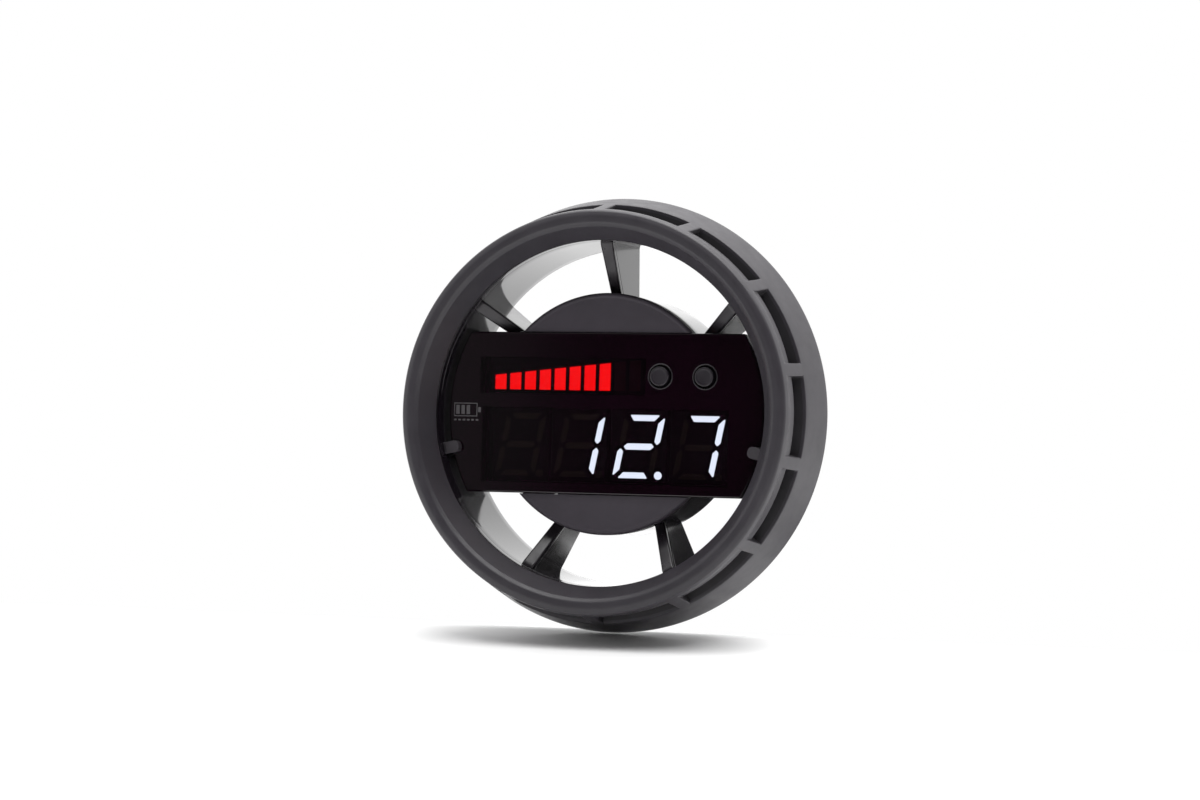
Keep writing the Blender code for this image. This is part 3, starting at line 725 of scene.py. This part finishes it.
for i in range(7):
    a = 90.0 + 360.0 * i / 7
    name = "spoke_%d" % (i + 1)
    bm = spoke_bm(21.0, 29.98, 8.45, 1.95, 19.1, 17.9, 0.95, 1.15)
    bmesh.ops.rotate(bm, verts=bm.verts, cent=(0, 0, 0), matrix=Matrix.Rotation(math.radians(-a), 3, "Y"))
    if i in (2, 5):
        bm = shaped(bm, cuts=bay_cutters(28.9))
    elif abs(math.sin(math.radians(a))) * 21.45 < 15.25:
        bm = shaped(bm, cuts=bay_cutters(26.45))
    spoke = finish_mesh(name + "_body", bm, SPOKE, CORE, (name,), sharp=28.0)
    spoke.data.materials.append(SPOKE_EDGE)
    for f in spoke.data.polygons:
        if f.normal.y < -0.45:
            f.material_index = 1
    if i in (2, 5):                                 # the tongue that holds the lens's end
        outline = fillet([(27.2, -1.02), (29.95, -1.02), (29.95, 1.02), (27.2, 1.02)], [0.85, 0.05, 0.05, 0.85], 10)
        tongue = shaped(outline_bm(outline, 2.35, 6.6), bevel=0.4, steps=5, angle=50.0)
        bmesh.ops.rotate(tongue, verts=tongue.verts, cent=(0, 0, 0), matrix=Matrix.Rotation(math.radians(-a), 3, "Y"))
        finish_mesh(name + "_tongue", tongue, TONGUE, CORE)

# =====================================================================================
# hub
# =====================================================================================
hub_bm_profile = fillet([(21.1, 5.97), (21.1, 19.0), (20.8, 19.3), (19.6, 19.3), (19.6, 5.97)], [0.3, 0.15, 0.15, 0.15, 0.1], steps=4)
prof = dense(hub_bm_profile, 2.5)
bm = bmesh.new()
seg = 360
grid = [[bm.verts.new((r * math.cos(2 * math.pi * k / seg) * MM, Y(s), r * math.sin(2 * math.pi * k / seg) * MM)) for r, s in prof] for k in range(seg)]
for k in range(seg):
    for j in range(len(prof)):
        j2, k2 = (j + 1) % len(prof), (k + 1) % seg
        bm.faces.new((grid[k][j], grid[k][j2], grid[k2][j2], grid[k2][j]))
bmesh.ops.recalc_face_normals(bm, faces=bm.faces)
finish_mesh("hub_shell_gloss", shaped(bm, cuts=bay_cutters(26.45) + [box_bm((-24.0, 24.0), (-9.0, 6.5), (-14.22, 14.22))]),
            GLOSS_HUB, CORE, ("hub_shell",), flat_over=0)


def hub_cap_bm(sign):
    """A cap with a shallow rim: the flat face, a fine raised line, then the rounded edge."""
    z0 = 14.20
    rings = [(21.1, 5.67), (21.1, 4.62), (21.06, 4.42), (20.94, 4.25), (20.78, 4.13), (20.62, 4.075), (20.45, 4.07), (20.35, 4.10),
             (20.25, 4.13), (20.0, 4.13)]
    bm = bmesh.new()
    n = 120
    rows = []
    for r, s in rings:
        a0 = math.asin(z0 / r)
        row = []
        for k in range(n + 1):
            a = a0 + (math.pi - 2 * a0) * k / n
            row.append(bm.verts.new((r * math.cos(a) * MM, Y(s), sign * r * math.sin(a) * MM)))
        rows.append(row)
    for a, b in zip(rows, rows[1:]):
        for k in range(n):
            bm.faces.new((a[k], a[k + 1], b[k + 1], b[k]))
    bm.faces.new(rows[-1])
    bm.faces.new(rows[0][::-1])
    left = [row[-1] for row in rows]
    right = [row[0] for row in rows]
    bm.faces.new(left + right[::-1])
    bmesh.ops.recalc_face_normals(bm, faces=bm.faces)
    return bm


for sign, name in ((1, "hub_cap_upper"), (-1, "hub_cap_lower")):
    finish_mesh(name + "_face", hub_cap_bm(sign), CAP, CORE, (name,), sharp=40.0)

# rear cover: a dished disc with a raised rim, the socket's hole and three screw wells
COVER_SCREWS = [(15.7 * math.cos(math.radians(90 + 120 * i)), 15.7 * math.sin(math.radians(90 + 120 * i))) for i in range(3)]
cover_prof = fillet([(0.0, 17.6), (19.3, 17.6), (19.3, 19.1), (18.3, 19.1), (18.1, 18.75), (0.0, 18.75)], [0, 0.15, 0.15, 0.12, 0.12, 0], steps=3, closed=False)
seg = 240
bm = bmesh.new()
rows = []
for r, s in cover_prof:
    if r < 1e-6:
        rows.append([bm.verts.new((0.0, Y(s), 0.0))])
    else:
        rows.append([bm.verts.new((r * math.cos(2 * math.pi * k / seg) * MM, Y(s), r * math.sin(2 * math.pi * k / seg) * MM)) for k in range(seg)])
for a, b in zip(rows, rows[1:]):
    for k in range(seg):
        k2 = (k + 1) % seg
        if len(a) == 1:
            bm.faces.new((a[0], b[k2], b[k]))
        elif len(b) == 1:
            bm.faces.new((a[k], a[k2], b[0]))
        else:
            bm.faces.new((a[k], a[k2], b[k2], b[k]))
bmesh.ops.recalc_face_normals(bm, faces=bm.faces)
joins = [rod_bm(x, z, (18.0, 19.1), 2.7, 48) for x, z in COVER_SCREWS]
joins += [box_bm((-8.0, 8.0), (18.0, 19.1), (-5.6, 5.6))]
cuts = [box_bm((-6.3, 6.3), (16.0, 22.0), (-3.9, 3.9))] + [rod_bm(x, z, (16.0, 22.0), 1.45, 32) for x, z in COVER_SCREWS]
finish_mesh("rear_cover_body", shaped(bm, cuts=cuts, joins=joins, bevel=0.12, steps=2, angle=50.0), SATIN, CORE, ("hub_rear_cover",))


def screw_bm(x, z, shank, head, under, top, thread_from, recess):
    """A pan-head screw: threaded shank, flared head and a cross or straight recess."""
    prof = [(0.0, thread_from)]
    s, r = thread_from, shank
    prof += [(shank * 0.6, thread_from), (shank, thread_from + 0.35)]
    pitch = 0.5
    s = thread_from + 0.35
    while s + pitch < under - 0.25:
        prof += [(shank, s + pitch * 0.18), (shank * 0.82, s + pitch * 0.5), (shank, s + pitch * 0.82)]
        s += pitch
    prof += [(shank, under), (head - 0.08, under), (head, under + 0.1), (head, under + (top - under) * 0.45)]
    prof += [(head * math.cos(math.radians(t)) ** 0.8, under + (top - under) * (0.45 + 0.55 * math.sin(math.radians(t)))) for t in (20, 40, 60, 75)]
    prof += [(0.0, top)]
    bm = bmesh.new()
    seg, rows = 40, []
    for r, s in prof:
        if r < 1e-6:
            rows.append([bm.verts.new((x * MM, Y(s), z * MM))])
        else:
            rows.append([bm.verts.new(((x + r * math.cos(2 * math.pi * k / seg)) * MM, Y(s), (z + r * math.sin(2 * math.pi * k / seg)) * MM)) for k in range(seg)])
    for a, b in zip(rows, rows[1:]):
        for k in range(seg):
            k2 = (k + 1) % seg
            if len(a) == 1:
                bm.faces.new((a[0], b[k2], b[k]))
            elif len(b) == 1:
                bm.faces.new((a[k], a[k2], b[0]))
            else:
                bm.faces.new((a[k], a[k2], b[k2], b[k]))
    bmesh.ops.recalc_face_normals(bm, faces=bm.faces)
    depth = (top - under) * 0.62
    if recess == "cross":
        w = head * 0.58
        cuts = [box_bm((x - w, x + w), (top - depth, top + 1), (z - 0.22, z + 0.22)), box_bm((x - 0.22, x + 0.22), (top - depth, top + 1), (z - w, z + w))]
    else:
        cuts = [box_bm((x - head * 1.1, x + head * 1.1), (top - depth, top + 1), (z - 0.2, z + 0.2))]
    return shaped(bm, cuts=cuts)


for i, (x, z) in enumerate(COVER_SCREWS):
    name = "cover_screw_%d" % (i + 1)
    finish_mesh(name + "_body", screw_bm(x, z, 1.1, 2.1, 19.4, 20.3, 16.1, "cross"), ZINC, CORE, (name,))
for i, x in enumerate((-23.9, 23.9)):
    name = "plate_screw_%d" % (i + 1)
    finish_mesh(name + "_body", screw_bm(x, 3.0, 0.75, 1.4, 15.8, 16.7, 14.15, "slot"), ZINC, CORE, (name,))

# harness socket: keyed shell, and its four pins
socket = shaped(box_bm((-5.9, 5.9), (14.1, 20.6), (-3.5, 3.5)),
                cuts=[box_bm((-4.9, 4.9), (16.2, 24.0), (-2.5, 2.5)),
                      box_bm((-1.6, 1.6), (18.2, 24.0), (2.0, 3.05)),
                      box_bm((-4.2, -3.0), (18.2, 24.0), (-2.95, -2.0)), box_bm((3.0, 4.2), (18.2, 24.0), (-2.95, -2.0))]
                + [box_bm((-3.75 + 2.5 * i - 0.62, -3.75 + 2.5 * i + 0.62), (15.1, 17.0), (-0.62, 0.62)) for i in range(4)],
                bevel=0.15, steps=3, angle=50.0)
finish_mesh("harness_socket_shell", socket, NYLON, CORE, ("harness_socket",))
for i in range(4):
    x = -3.75 + 2.5 * i
    bm = bmesh.new()
    rows = []
    for half, s in ((0.24, 15.4), (0.32, 15.5), (0.32, 19.0), (0.26, 19.3), (0.12, 19.6)):
        c = 0.08
        pts = [(half - c, half), (half, half - c), (half, -half + c), (half - c, -half), (-half + c, -half), (-half, -half + c), (-half, half - c), (-half + c, half)]
        if half < 0.2:
            pts = [(p * 0.8, q * 0.8) for p, q in pts]
        rows.append([bm.verts.new(((x + p) * MM, Y(s), q * MM)) for p, q in pts])
    for a, b in zip(rows, rows[1:]):
        for k in range(8):
            bm.faces.new((a[k], a[(k + 1) % 8], b[(k + 1) % 8], b[k]))
    bm.faces.new(rows[0])
    bm.faces.new(rows[-1][::-1])
    name = "socket_pin_%d" % (i + 1)
    finish_mesh(name + "_blade", bm, GOLD, CORE, (name,))

# =====================================================================================
# lens
# =====================================================================================
LENS_R, LENS_H = 28.85, 14.12
BUTTON_X, BUTTON_Z, HOLE_R, CAP_R = (10.10, 18.20), 6.62, 2.18, 1.68
ang = math.degrees(math.asin(LENS_H / LENS_R))
disc = arc(LENS_R, -ang, ang, 90) + arc(LENS_R, 180 - ang, 180 + ang, 90)


def notch_bm(a):
    """The round-ended notch in the lens around a spoke's tongue."""
    outline = [(34.0, -1.2)] + arc(1.2, 270.0, 90.0, 24, (28.22, 0.0)) + [(34.0, 1.2)]
    bm = outline_bm(outline, 0.0, 10.0)
    bmesh.ops.rotate(bm, verts=bm.verts, cent=(0, 0, 0), matrix=Matrix.Rotation(math.radians(-a), 3, "Y"))
    return bm


lens_bm = shaped(outline_bm(disc, 3.7, 6.2), bevel=0.28, steps=5, angle=50.0)
lens_bm = shaped(lens_bm, cuts=[rod_bm(x, BUTTON_Z, (0.0, 10.0), HOLE_R, 64) for x in BUTTON_X] + [notch_bm(90.0 + 360.0 * k / 7) for k in (2, 5)],
                 bevel=0.07, steps=3, angle=50.0)
lens = finish_mesh("lens_smoked", lens_bm, LENS, CORE, ("lens",), sharp=40.0)
lens.data.materials.append(LENS_EDGE)      # the rim is inked black
for f in lens.data.polygons:
    if abs(f.normal.y) < 0.35 and (abs(f.center.z) > 13.6 * MM or math.hypot(f.center.x, f.center.z) > 26.6 * MM):
        f.material_index = 1

gasket = shaped(outline_bm(clipped_disc(28.3, 13.2, 40), 6.5, 7.0), cuts=[box_bm((-24.2, 24.2), (5.0, 9.0), (-12.35, 12.35))], bevel=0.1, steps=2, angle=50.0)
finish_mesh("lens_gasket_foam", gasket, FOAM, CORE, ("lens_gasket",))

# =====================================================================================
# display
# =====================================================================================
DIGIT_X = (-16.39, -5.42, 5.55, 16.5)
MID_Z, SLANT = -5.55, 0.1937
SEG = {
    "a": [(-2.74, 5.53), (2.74, 5.53), (1.86, 4.49), (-1.86, 4.49)],
    "d": [(-2.74, -5.53), (-1.86, -4.49), (1.86, -4.49), (2.74, -5.53)],
    "g": [(-2.75, 0.0), (-2.2, 0.55), (2.2, 0.55), (2.75, 0.0), (2.2, -0.55), (-2.2, -0.55)],
    "b": [(3.56, 5.0), (3.73, 4.86), (3.73, 0.86), (3.24, 0.33), (2.69, 0.88), (2.69, 4.05)],
}
SEG["c"] = [(x, -z) for x, z in reversed(SEG["b"])]
SEG["f"] = [(-x, z) for x, z in reversed(SEG["b"])]
SEG["e"] = [(-x, -z) for x, z in SEG["b"]]
SHOWN = ("", "bc", "abged", "abc")
DOT = (4.60, -4.98, 0.70)
BLOCK_FACE = 6.7


def flat_bm(outlines, s_face, thick=0.06, round_by=0.12):
    """Thin closed plates, one for each outline (x, z in mm), standing just off a face."""
    bm = bmesh.new()
    for outline in outlines:
        pts = fillet(outline, round_by, 3) if round_by else outline
        front = [bm.verts.new((x * MM, Y(s_face - thick), z * MM)) for x, z in pts]
        rear = [bm.verts.new((x * MM, Y(s_face - 0.005), z * MM)) for x, z in pts]
        bm.faces.new(front)
        bm.faces.new(rear[::-1])
        n = len(pts)
        for k in range(n):
            bm.faces.new((front[k], front[(k + 1) % n], rear[(k + 1) % n], rear[k]))
    bmesh.ops.recalc_face_normals(bm, faces=bm.faces)
    return bm


def led_block_bm(x, s, z, chamfer=0.2):
    """An LED block: a bevelled body."""
    return shaped(box_bm(x, s, z), bevel=chamfer, steps=3, angle=50.0)


def place(pts, cx):
    return [(cx + u + SLANT * w, MID_Z + w) for u, w in pts]


for i, cx in enumerate(DIGIT_X):
    name = "digit_%d" % (i + 1)
    x = -16.40 + 10.97 * i
    finish_mesh(name + "_block", led_block_bm((x - 5.25, x + 5.25), (BLOCK_FACE, 12.0), (-11.95, 0.95)), LEDFACE, CORE, (name,))
    on = [place(SEG[k], cx) for k in SHOWN[i]]
    off = [place(SEG[k], cx) for k in "abcdefg" if k not in SHOWN[i]]
    dot = arc(DOT[2], 0.0, 348.75, 31, (cx + DOT[0] + SLANT * DOT[1], MID_Z + DOT[1]))
    if i == 2:
        finish_mesh(name + "_point_lit", flat_bm([dot], BLOCK_FACE, round_by=0), LIT_WHITE, CORE)
    else:
        finish_mesh(name + "_point_unlit", flat_bm([dot], BLOCK_FACE, 0.03, round_by=0), OFF_WHITE, CORE)
    if on:
        finish_mesh(name + "_segments_lit", flat_bm(on, BLOCK_FACE), LIT_WHITE, CORE)
    if off:
        finish_mesh(name + "_segments_unlit", flat_bm(off, BLOCK_FACE, 0.03), OFF_WHITE, CORE)

finish_mesh("bar_graph_block", led_block_bm((-22.6, 6.5), (BLOCK_FACE, 12.0), (3.1, 9.9)), LEDFACE, CORE, ("bar_graph",))


def bar(i):
    x0 = -21.47 + 2.776 * i
    x1 = x0 + 2.05
    top = lambda x: 6.64 + 0.1085 * (x + 21.47)
    low = 4.12
    return [(x0, low), (x1, low), (x1, top(x1)), (x0, top(x0))]


finish_mesh("bars_lit", flat_bm([bar(i) for i in range(8)], BLOCK_FACE, round_by=0.05), LIT_RED, CORE)
finish_mesh("bars_unlit", flat_bm([bar(i) for i in range(8, 10)], BLOCK_FACE, 0.03, round_by=0.05), OFF_RED, CORE)

# printed pictogram on the lens: a plain battery outline with three cells
def stroke_frame(x0, x1, z0, z1, w):
    """A rectangular outline as four strokes."""
    return [[(x0, z0), (x1, z0), (x1, z0 + w), (x0, z0 + w)], [(x0, z1 - w), (x1, z1 - w), (x1, z1), (x0, z1)],
            [(x0, z0 + w), (x0 + w, z0 + w), (x0 + w, z1 - w), (x0, z1 - w)], [(x1 - w, z0 + w), (x1, z0 + w), (x1, z1 - w), (x1 - w, z1 - w)]]


mark = stroke_frame(-28.0, -23.6, -0.9, 1.5, 0.16)
mark += [[(-23.45, -0.15), (-22.95, -0.15), (-22.95, 0.75), (-23.45, 0.75)]]
mark += [[(-27.6 + 0.98 * k, -0.5), (-26.95 + 0.98 * k, -0.5), (-26.95 + 0.98 * k, 1.1), (-27.6 + 0.98 * k, 1.1)] for k in range(3)]
mark += [[(-28.0 + 0.82 * k, -1.65), (-27.48 + 0.82 * k, -1.65), (-27.48 + 0.82 * k, -1.35), (-28.0 + 0.82 * k, -1.35)] for k in range(6)]
finish_mesh("lens_pictogram", flat_bm(mark, 3.7, 0.02, 0.03), MARK, CORE)

# =====================================================================================
# push buttons
# =====================================================================================
for i, x in enumerate(BUTTON_X):
    name = "button_cap_%d" % (i + 1)
    prof = fillet([(0.0, 3.02), (1.15, 3.0), (1.36, 2.95), (CAP_R - 0.02, 2.95), (CAP_R, 3.2), (CAP_R, 7.4), (2.6, 7.4), (2.6, 8.2), (1.5, 8.2), (1.5, 8.75), (0.0, 8.75)],
                  [0, 0.3, 0.1, 0.16, 0.1, 0.15, 0.1, 0.1, 0.1, 0.1, 0], steps=5, closed=False)
    cap = revolve(name + "_moulding", dense(prof, 0.8, closed=False), 96, BUTTON, BUTTONS[i], centre=(x, BUTTON_Z), replaces=(name,), closed=False, sharp=60.0)
    cap.data.materials.append(RIM_PAINTED_HIGHLIGHT)         # the chamfer round the cap's face, lighter grey: painted highlight
    for f in cap.data.polygons:
        c = f.center
        if math.hypot(c.x / MM - x, c.z / MM - BUTTON_Z) > CAP_R - 0.17 and c.y < Y(3.2) and abs(f.normal.y) < 0.97:
            f.material_index = 1
    # a lighter ring that lines the button's hole in the lens: painted highlight on the hole's edge
    revolve("button_%d_bushing" % (i + 1), fillet([(HOLE_R - 0.14, 3.68), (HOLE_R + 0.02, 3.64), (HOLE_R + 0.1, 3.70), (HOLE_R + 0.1, 3.8), (HOLE_R - 0.02, 3.82),
                                                   (HOLE_R - 0.02, 6.1), (HOLE_R - 0.14, 6.1)], [0.04, 0.05, 0.03, 0.02, 0.02, 0.02, 0.04], steps=3),
            96, RIM_PAINTED_HIGHLIGHT, CORE, centre=(x, BUTTON_Z), sharp=60.0)

# =====================================================================================
# the pieces inside that stay as the CAD made them
# =====================================================================================
CAD_LOOKS = {
    "display_frame": (SATIN, "satin_black"), "back_plate": (SATIN, "satin_black"), "display_board": (GREEN, "board_green"),
    "controller_chip": (EPOXY, "chip_epoxy"), "led_driver_chip": (EPOXY, "chip_epoxy"), "voltage_regulator": (EPOXY, "chip_epoxy"),
    "sense_resistor": (EPOXY, "chip_epoxy"), "supply_capacitor": (ZINC, "zinc_plated"), "ceramic_capacitor": (TAN, "ceramic_tan"),
    "tact_switch_1": (EPOXY, "chip_epoxy"), "tact_switch_2": (EPOXY, "chip_epoxy"),
}
for node, (mat, slot_name) in CAD_LOOKS.items():
    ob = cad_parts[node]
    ob.data.materials.clear()
    ob.data.materials.append(mat)
    b = ob.modifiers.new("edges", "BEVEL")
    b.width = 0.12 * MM
    b.segments = 2
    b.limit_method = "ANGLE"
    b.angle_limit = math.radians(50.0)

# =====================================================================================
# floor, light, camera
# =====================================================================================
FLOOR_Z = -38.25
SLOPE = math.tan(math.radians(11.0))


def floor_height(y):
    """A table that falls away towards the camera, with its crest just behind the object (mm)."""
    crest, soft = 1.5, 3.0
    t = (y - crest) / soft
    # a smooth turn from the front slope to a gentler fall behind
    up, down = SLOPE, -math.tan(math.radians(3.0))
    softplus = math.log1p(math.exp(t)) if t < 40 else t
    return FLOOR_Z + up * y + (down - up) * soft * softplus + (up - down) * soft * math.log1p(math.exp(-crest / soft))


ys = [-2500 + 2500 * (k / 60) ** 0.5 for k in range(60)] + [i * 1.0 for i in range(0, 60)] + [60 + 40 * k ** 1.6 for k in range(1, 16)]
ys = sorted(set(round(v, 3) for v in ys))
xs = [-2500, -1000, -400, -200, -100, 0, 100, 200, 400, 1000, 2500]
verts = [(x * MM, y * MM, floor_height(y) * MM) for y in ys for x in xs]
w = len(xs)
faces = [(j * w + i, j * w + i + 1, (j + 1) * w + i + 1, (j + 1) * w + i) for j in range(len(ys) - 1) for i in range(w - 1)]
me = bpy.data.meshes.new("floor")
me.from_pydata(verts, [], faces)
me.shade_smooth()
floor = bpy.data.objects.new("floor", me)
bpy.context.scene.collection.objects.link(floor)
t = Nodes("floor_white", (0.86, 0.86, 0.86), 0.9, specular=0.2)
t.tint(t.noise(12.0, 2.0), 0.01)
me.materials.append(t.m)

scene = bpy.context.scene
scene.view_settings.view_transform = "Standard"
scene.view_settings.look = "None"
scene.view_settings.exposure = 0.0
scene.view_settings.gamma = 1.0

# camera: fitted to the photograph's circles
AZ, EL, ROLL = math.radians(19.15), math.radians(-1.92), math.radians(1.62)
back = Vector((math.sin(AZ) * math.cos(EL), -math.cos(AZ) * math.cos(EL), math.sin(EL)))
fwd = -back
right = Vector((math.cos(AZ), math.sin(AZ), 0.0))
up = right.cross(fwd)
r2 = math.cos(ROLL) * right + math.sin(ROLL) * up
u2 = -math.sin(ROLL) * right + math.cos(ROLL) * up
cam = bpy.data.cameras.new("camera")
cam.sensor_width = 36.0
cam.sensor_fit = "HORIZONTAL"
cam.lens = 3111.0 / 1200.0 * 36.0
cam.clip_start = 0.01
cam.clip_end = 100.0
cam_ob = bpy.data.objects.new("camera", cam)
scene.collection.objects.link(cam_ob)
cam_ob.matrix_world = Matrix((
    (r2.x, u2.x, back.x, 0.17656),
    (r2.y, u2.y, back.y, -0.51842),
    (r2.z, u2.z, back.z, -0.01576),
    (0.0, 0.0, 0.0, 1.0)))
scene.camera = cam_ob

# studio: a white room that is dark only around the camera, and a soft box overhead
world = bpy.data.worlds.new("studio")
scene.world = world
world.use_nodes = True
nt = world.node_tree
nt.nodes.clear()
out = nt.nodes.new("ShaderNodeOutputWorld")
bg = nt.nodes.new("ShaderNodeBackground")
co = nt.nodes.new("ShaderNodeTexCoord")
dot = nt.nodes.new("ShaderNodeVectorMath")
dot.operation = "DOT_PRODUCT"
DARK_DIR = Vector((0.45, -0.89, 0.0)).normalized()
dot.inputs[1].default_value = DARK_DIR
nt.links.new(co.outputs["Generated"], dot.inputs[0])
ramp = nt.nodes.new("ShaderNodeValToRGB")
ramp.color_ramp.interpolation = "LINEAR"
levels = ((0.0, 1.05), (0.075, 1.0), (0.11, 0.93), (0.15, 0.84), (0.35, 0.92), (0.5, 0.80), (0.625, 0.46), (0.685, 0.22), (0.775, 0.13),
          (0.822, 0.12), (0.833, 0.10), (0.843, 0.028), (0.848, 0.018), (1.0, 0.012))
for k, (pos, v) in enumerate(levels):
    if k == 0 or k == len(levels) - 1:
        e = ramp.color_ramp.elements[0 if k == 0 else -1]
        e.position = pos
    else:
        e = ramp.color_ramp.elements.new(pos)
    v = min(v, 1.0)
    e.color = (v, v, v, 1.0)
half = nt.nodes.new("ShaderNodeMath")
half.operation = "MULTIPLY_ADD"
half.inputs[1].default_value = 0.5
half.inputs[2].default_value = 0.5
nt.links.new(dot.outputs["Value"], half.inputs[0])
nt.links.new(half.outputs["Value"], ramp.inputs["Fac"])
lp = nt.nodes.new("ShaderNodeLightPath")
mix = nt.nodes.new("ShaderNodeMix")
mix.data_type = "RGBA"
nt.links.new(lp.outputs["Is Camera Ray"], mix.inputs["Factor"])
nt.links.new(ramp.outputs["Color"], mix.inputs["A"])
mix.inputs["B"].default_value = (1.0, 1.0, 1.0, 1.0)
nt.links.new(mix.outputs["Result"], bg.inputs["Color"])
level = nt.nodes.new("ShaderNodeMix")
level.data_type = "FLOAT"
level.inputs["A"].default_value = 1.58
level.inputs["B"].default_value = 1.0
nt.links.new(lp.outputs["Is Camera Ray"], level.inputs["Factor"])
nt.links.new(level.outputs["Result"], bg.inputs["Strength"])
nt.links.new(bg.outputs["Background"], out.inputs["Surface"])


def soft_box(name, place_at, aim, size_x, size_y, radiance):
    light = bpy.data.lights.new(name, "AREA")
    light.shape = "RECTANGLE"
    light.size, light.size_y = size_x, size_y
    light.energy = radiance * math.pi * size_x * size_y
    ob = bpy.data.objects.new(name, light)
    scene.collection.objects.link(ob)
    ob.location = place_at
    ob.rotation_mode = "QUATERNION"
    ob.rotation_quaternion = (Vector(aim) - Vector(place_at)).to_track_quat("-Z", "Y")
    return ob


soft_box("overhead", (0.16, -0.05, 0.75), (0.08, 0.0, 0.0), 0.80, 0.94, 4.7)

# a dark card behind the lower right, out of the camera's sight, that the glossy sides mirror
card = temp(merge_bm(outline_bm([(5.0, -44.0), (50.0, -44.0), (50.0, -20.0), (31.0, -20.0), (31.0, -12.0), (12.0, -12.0), (5.0, -25.0)],
                                 28.0 + 11.4, 110.0 + 11.4),
                      outline_bm([(-14.0, -44.0), (4.9, -44.0), (4.9, -31.0), (-14.0, -32.4)], 28.0 + 11.4, 34.0 + 11.4)), "flag_card")
t = Nodes("flag_black", (0.02, 0.02, 0.02), 0.9)
t.tint(t.noise(30.0), 0.1)
card.data.materials.append(t.m)
card.visible_camera = False
card.visible_diffuse = False
card.visible_shadow = False
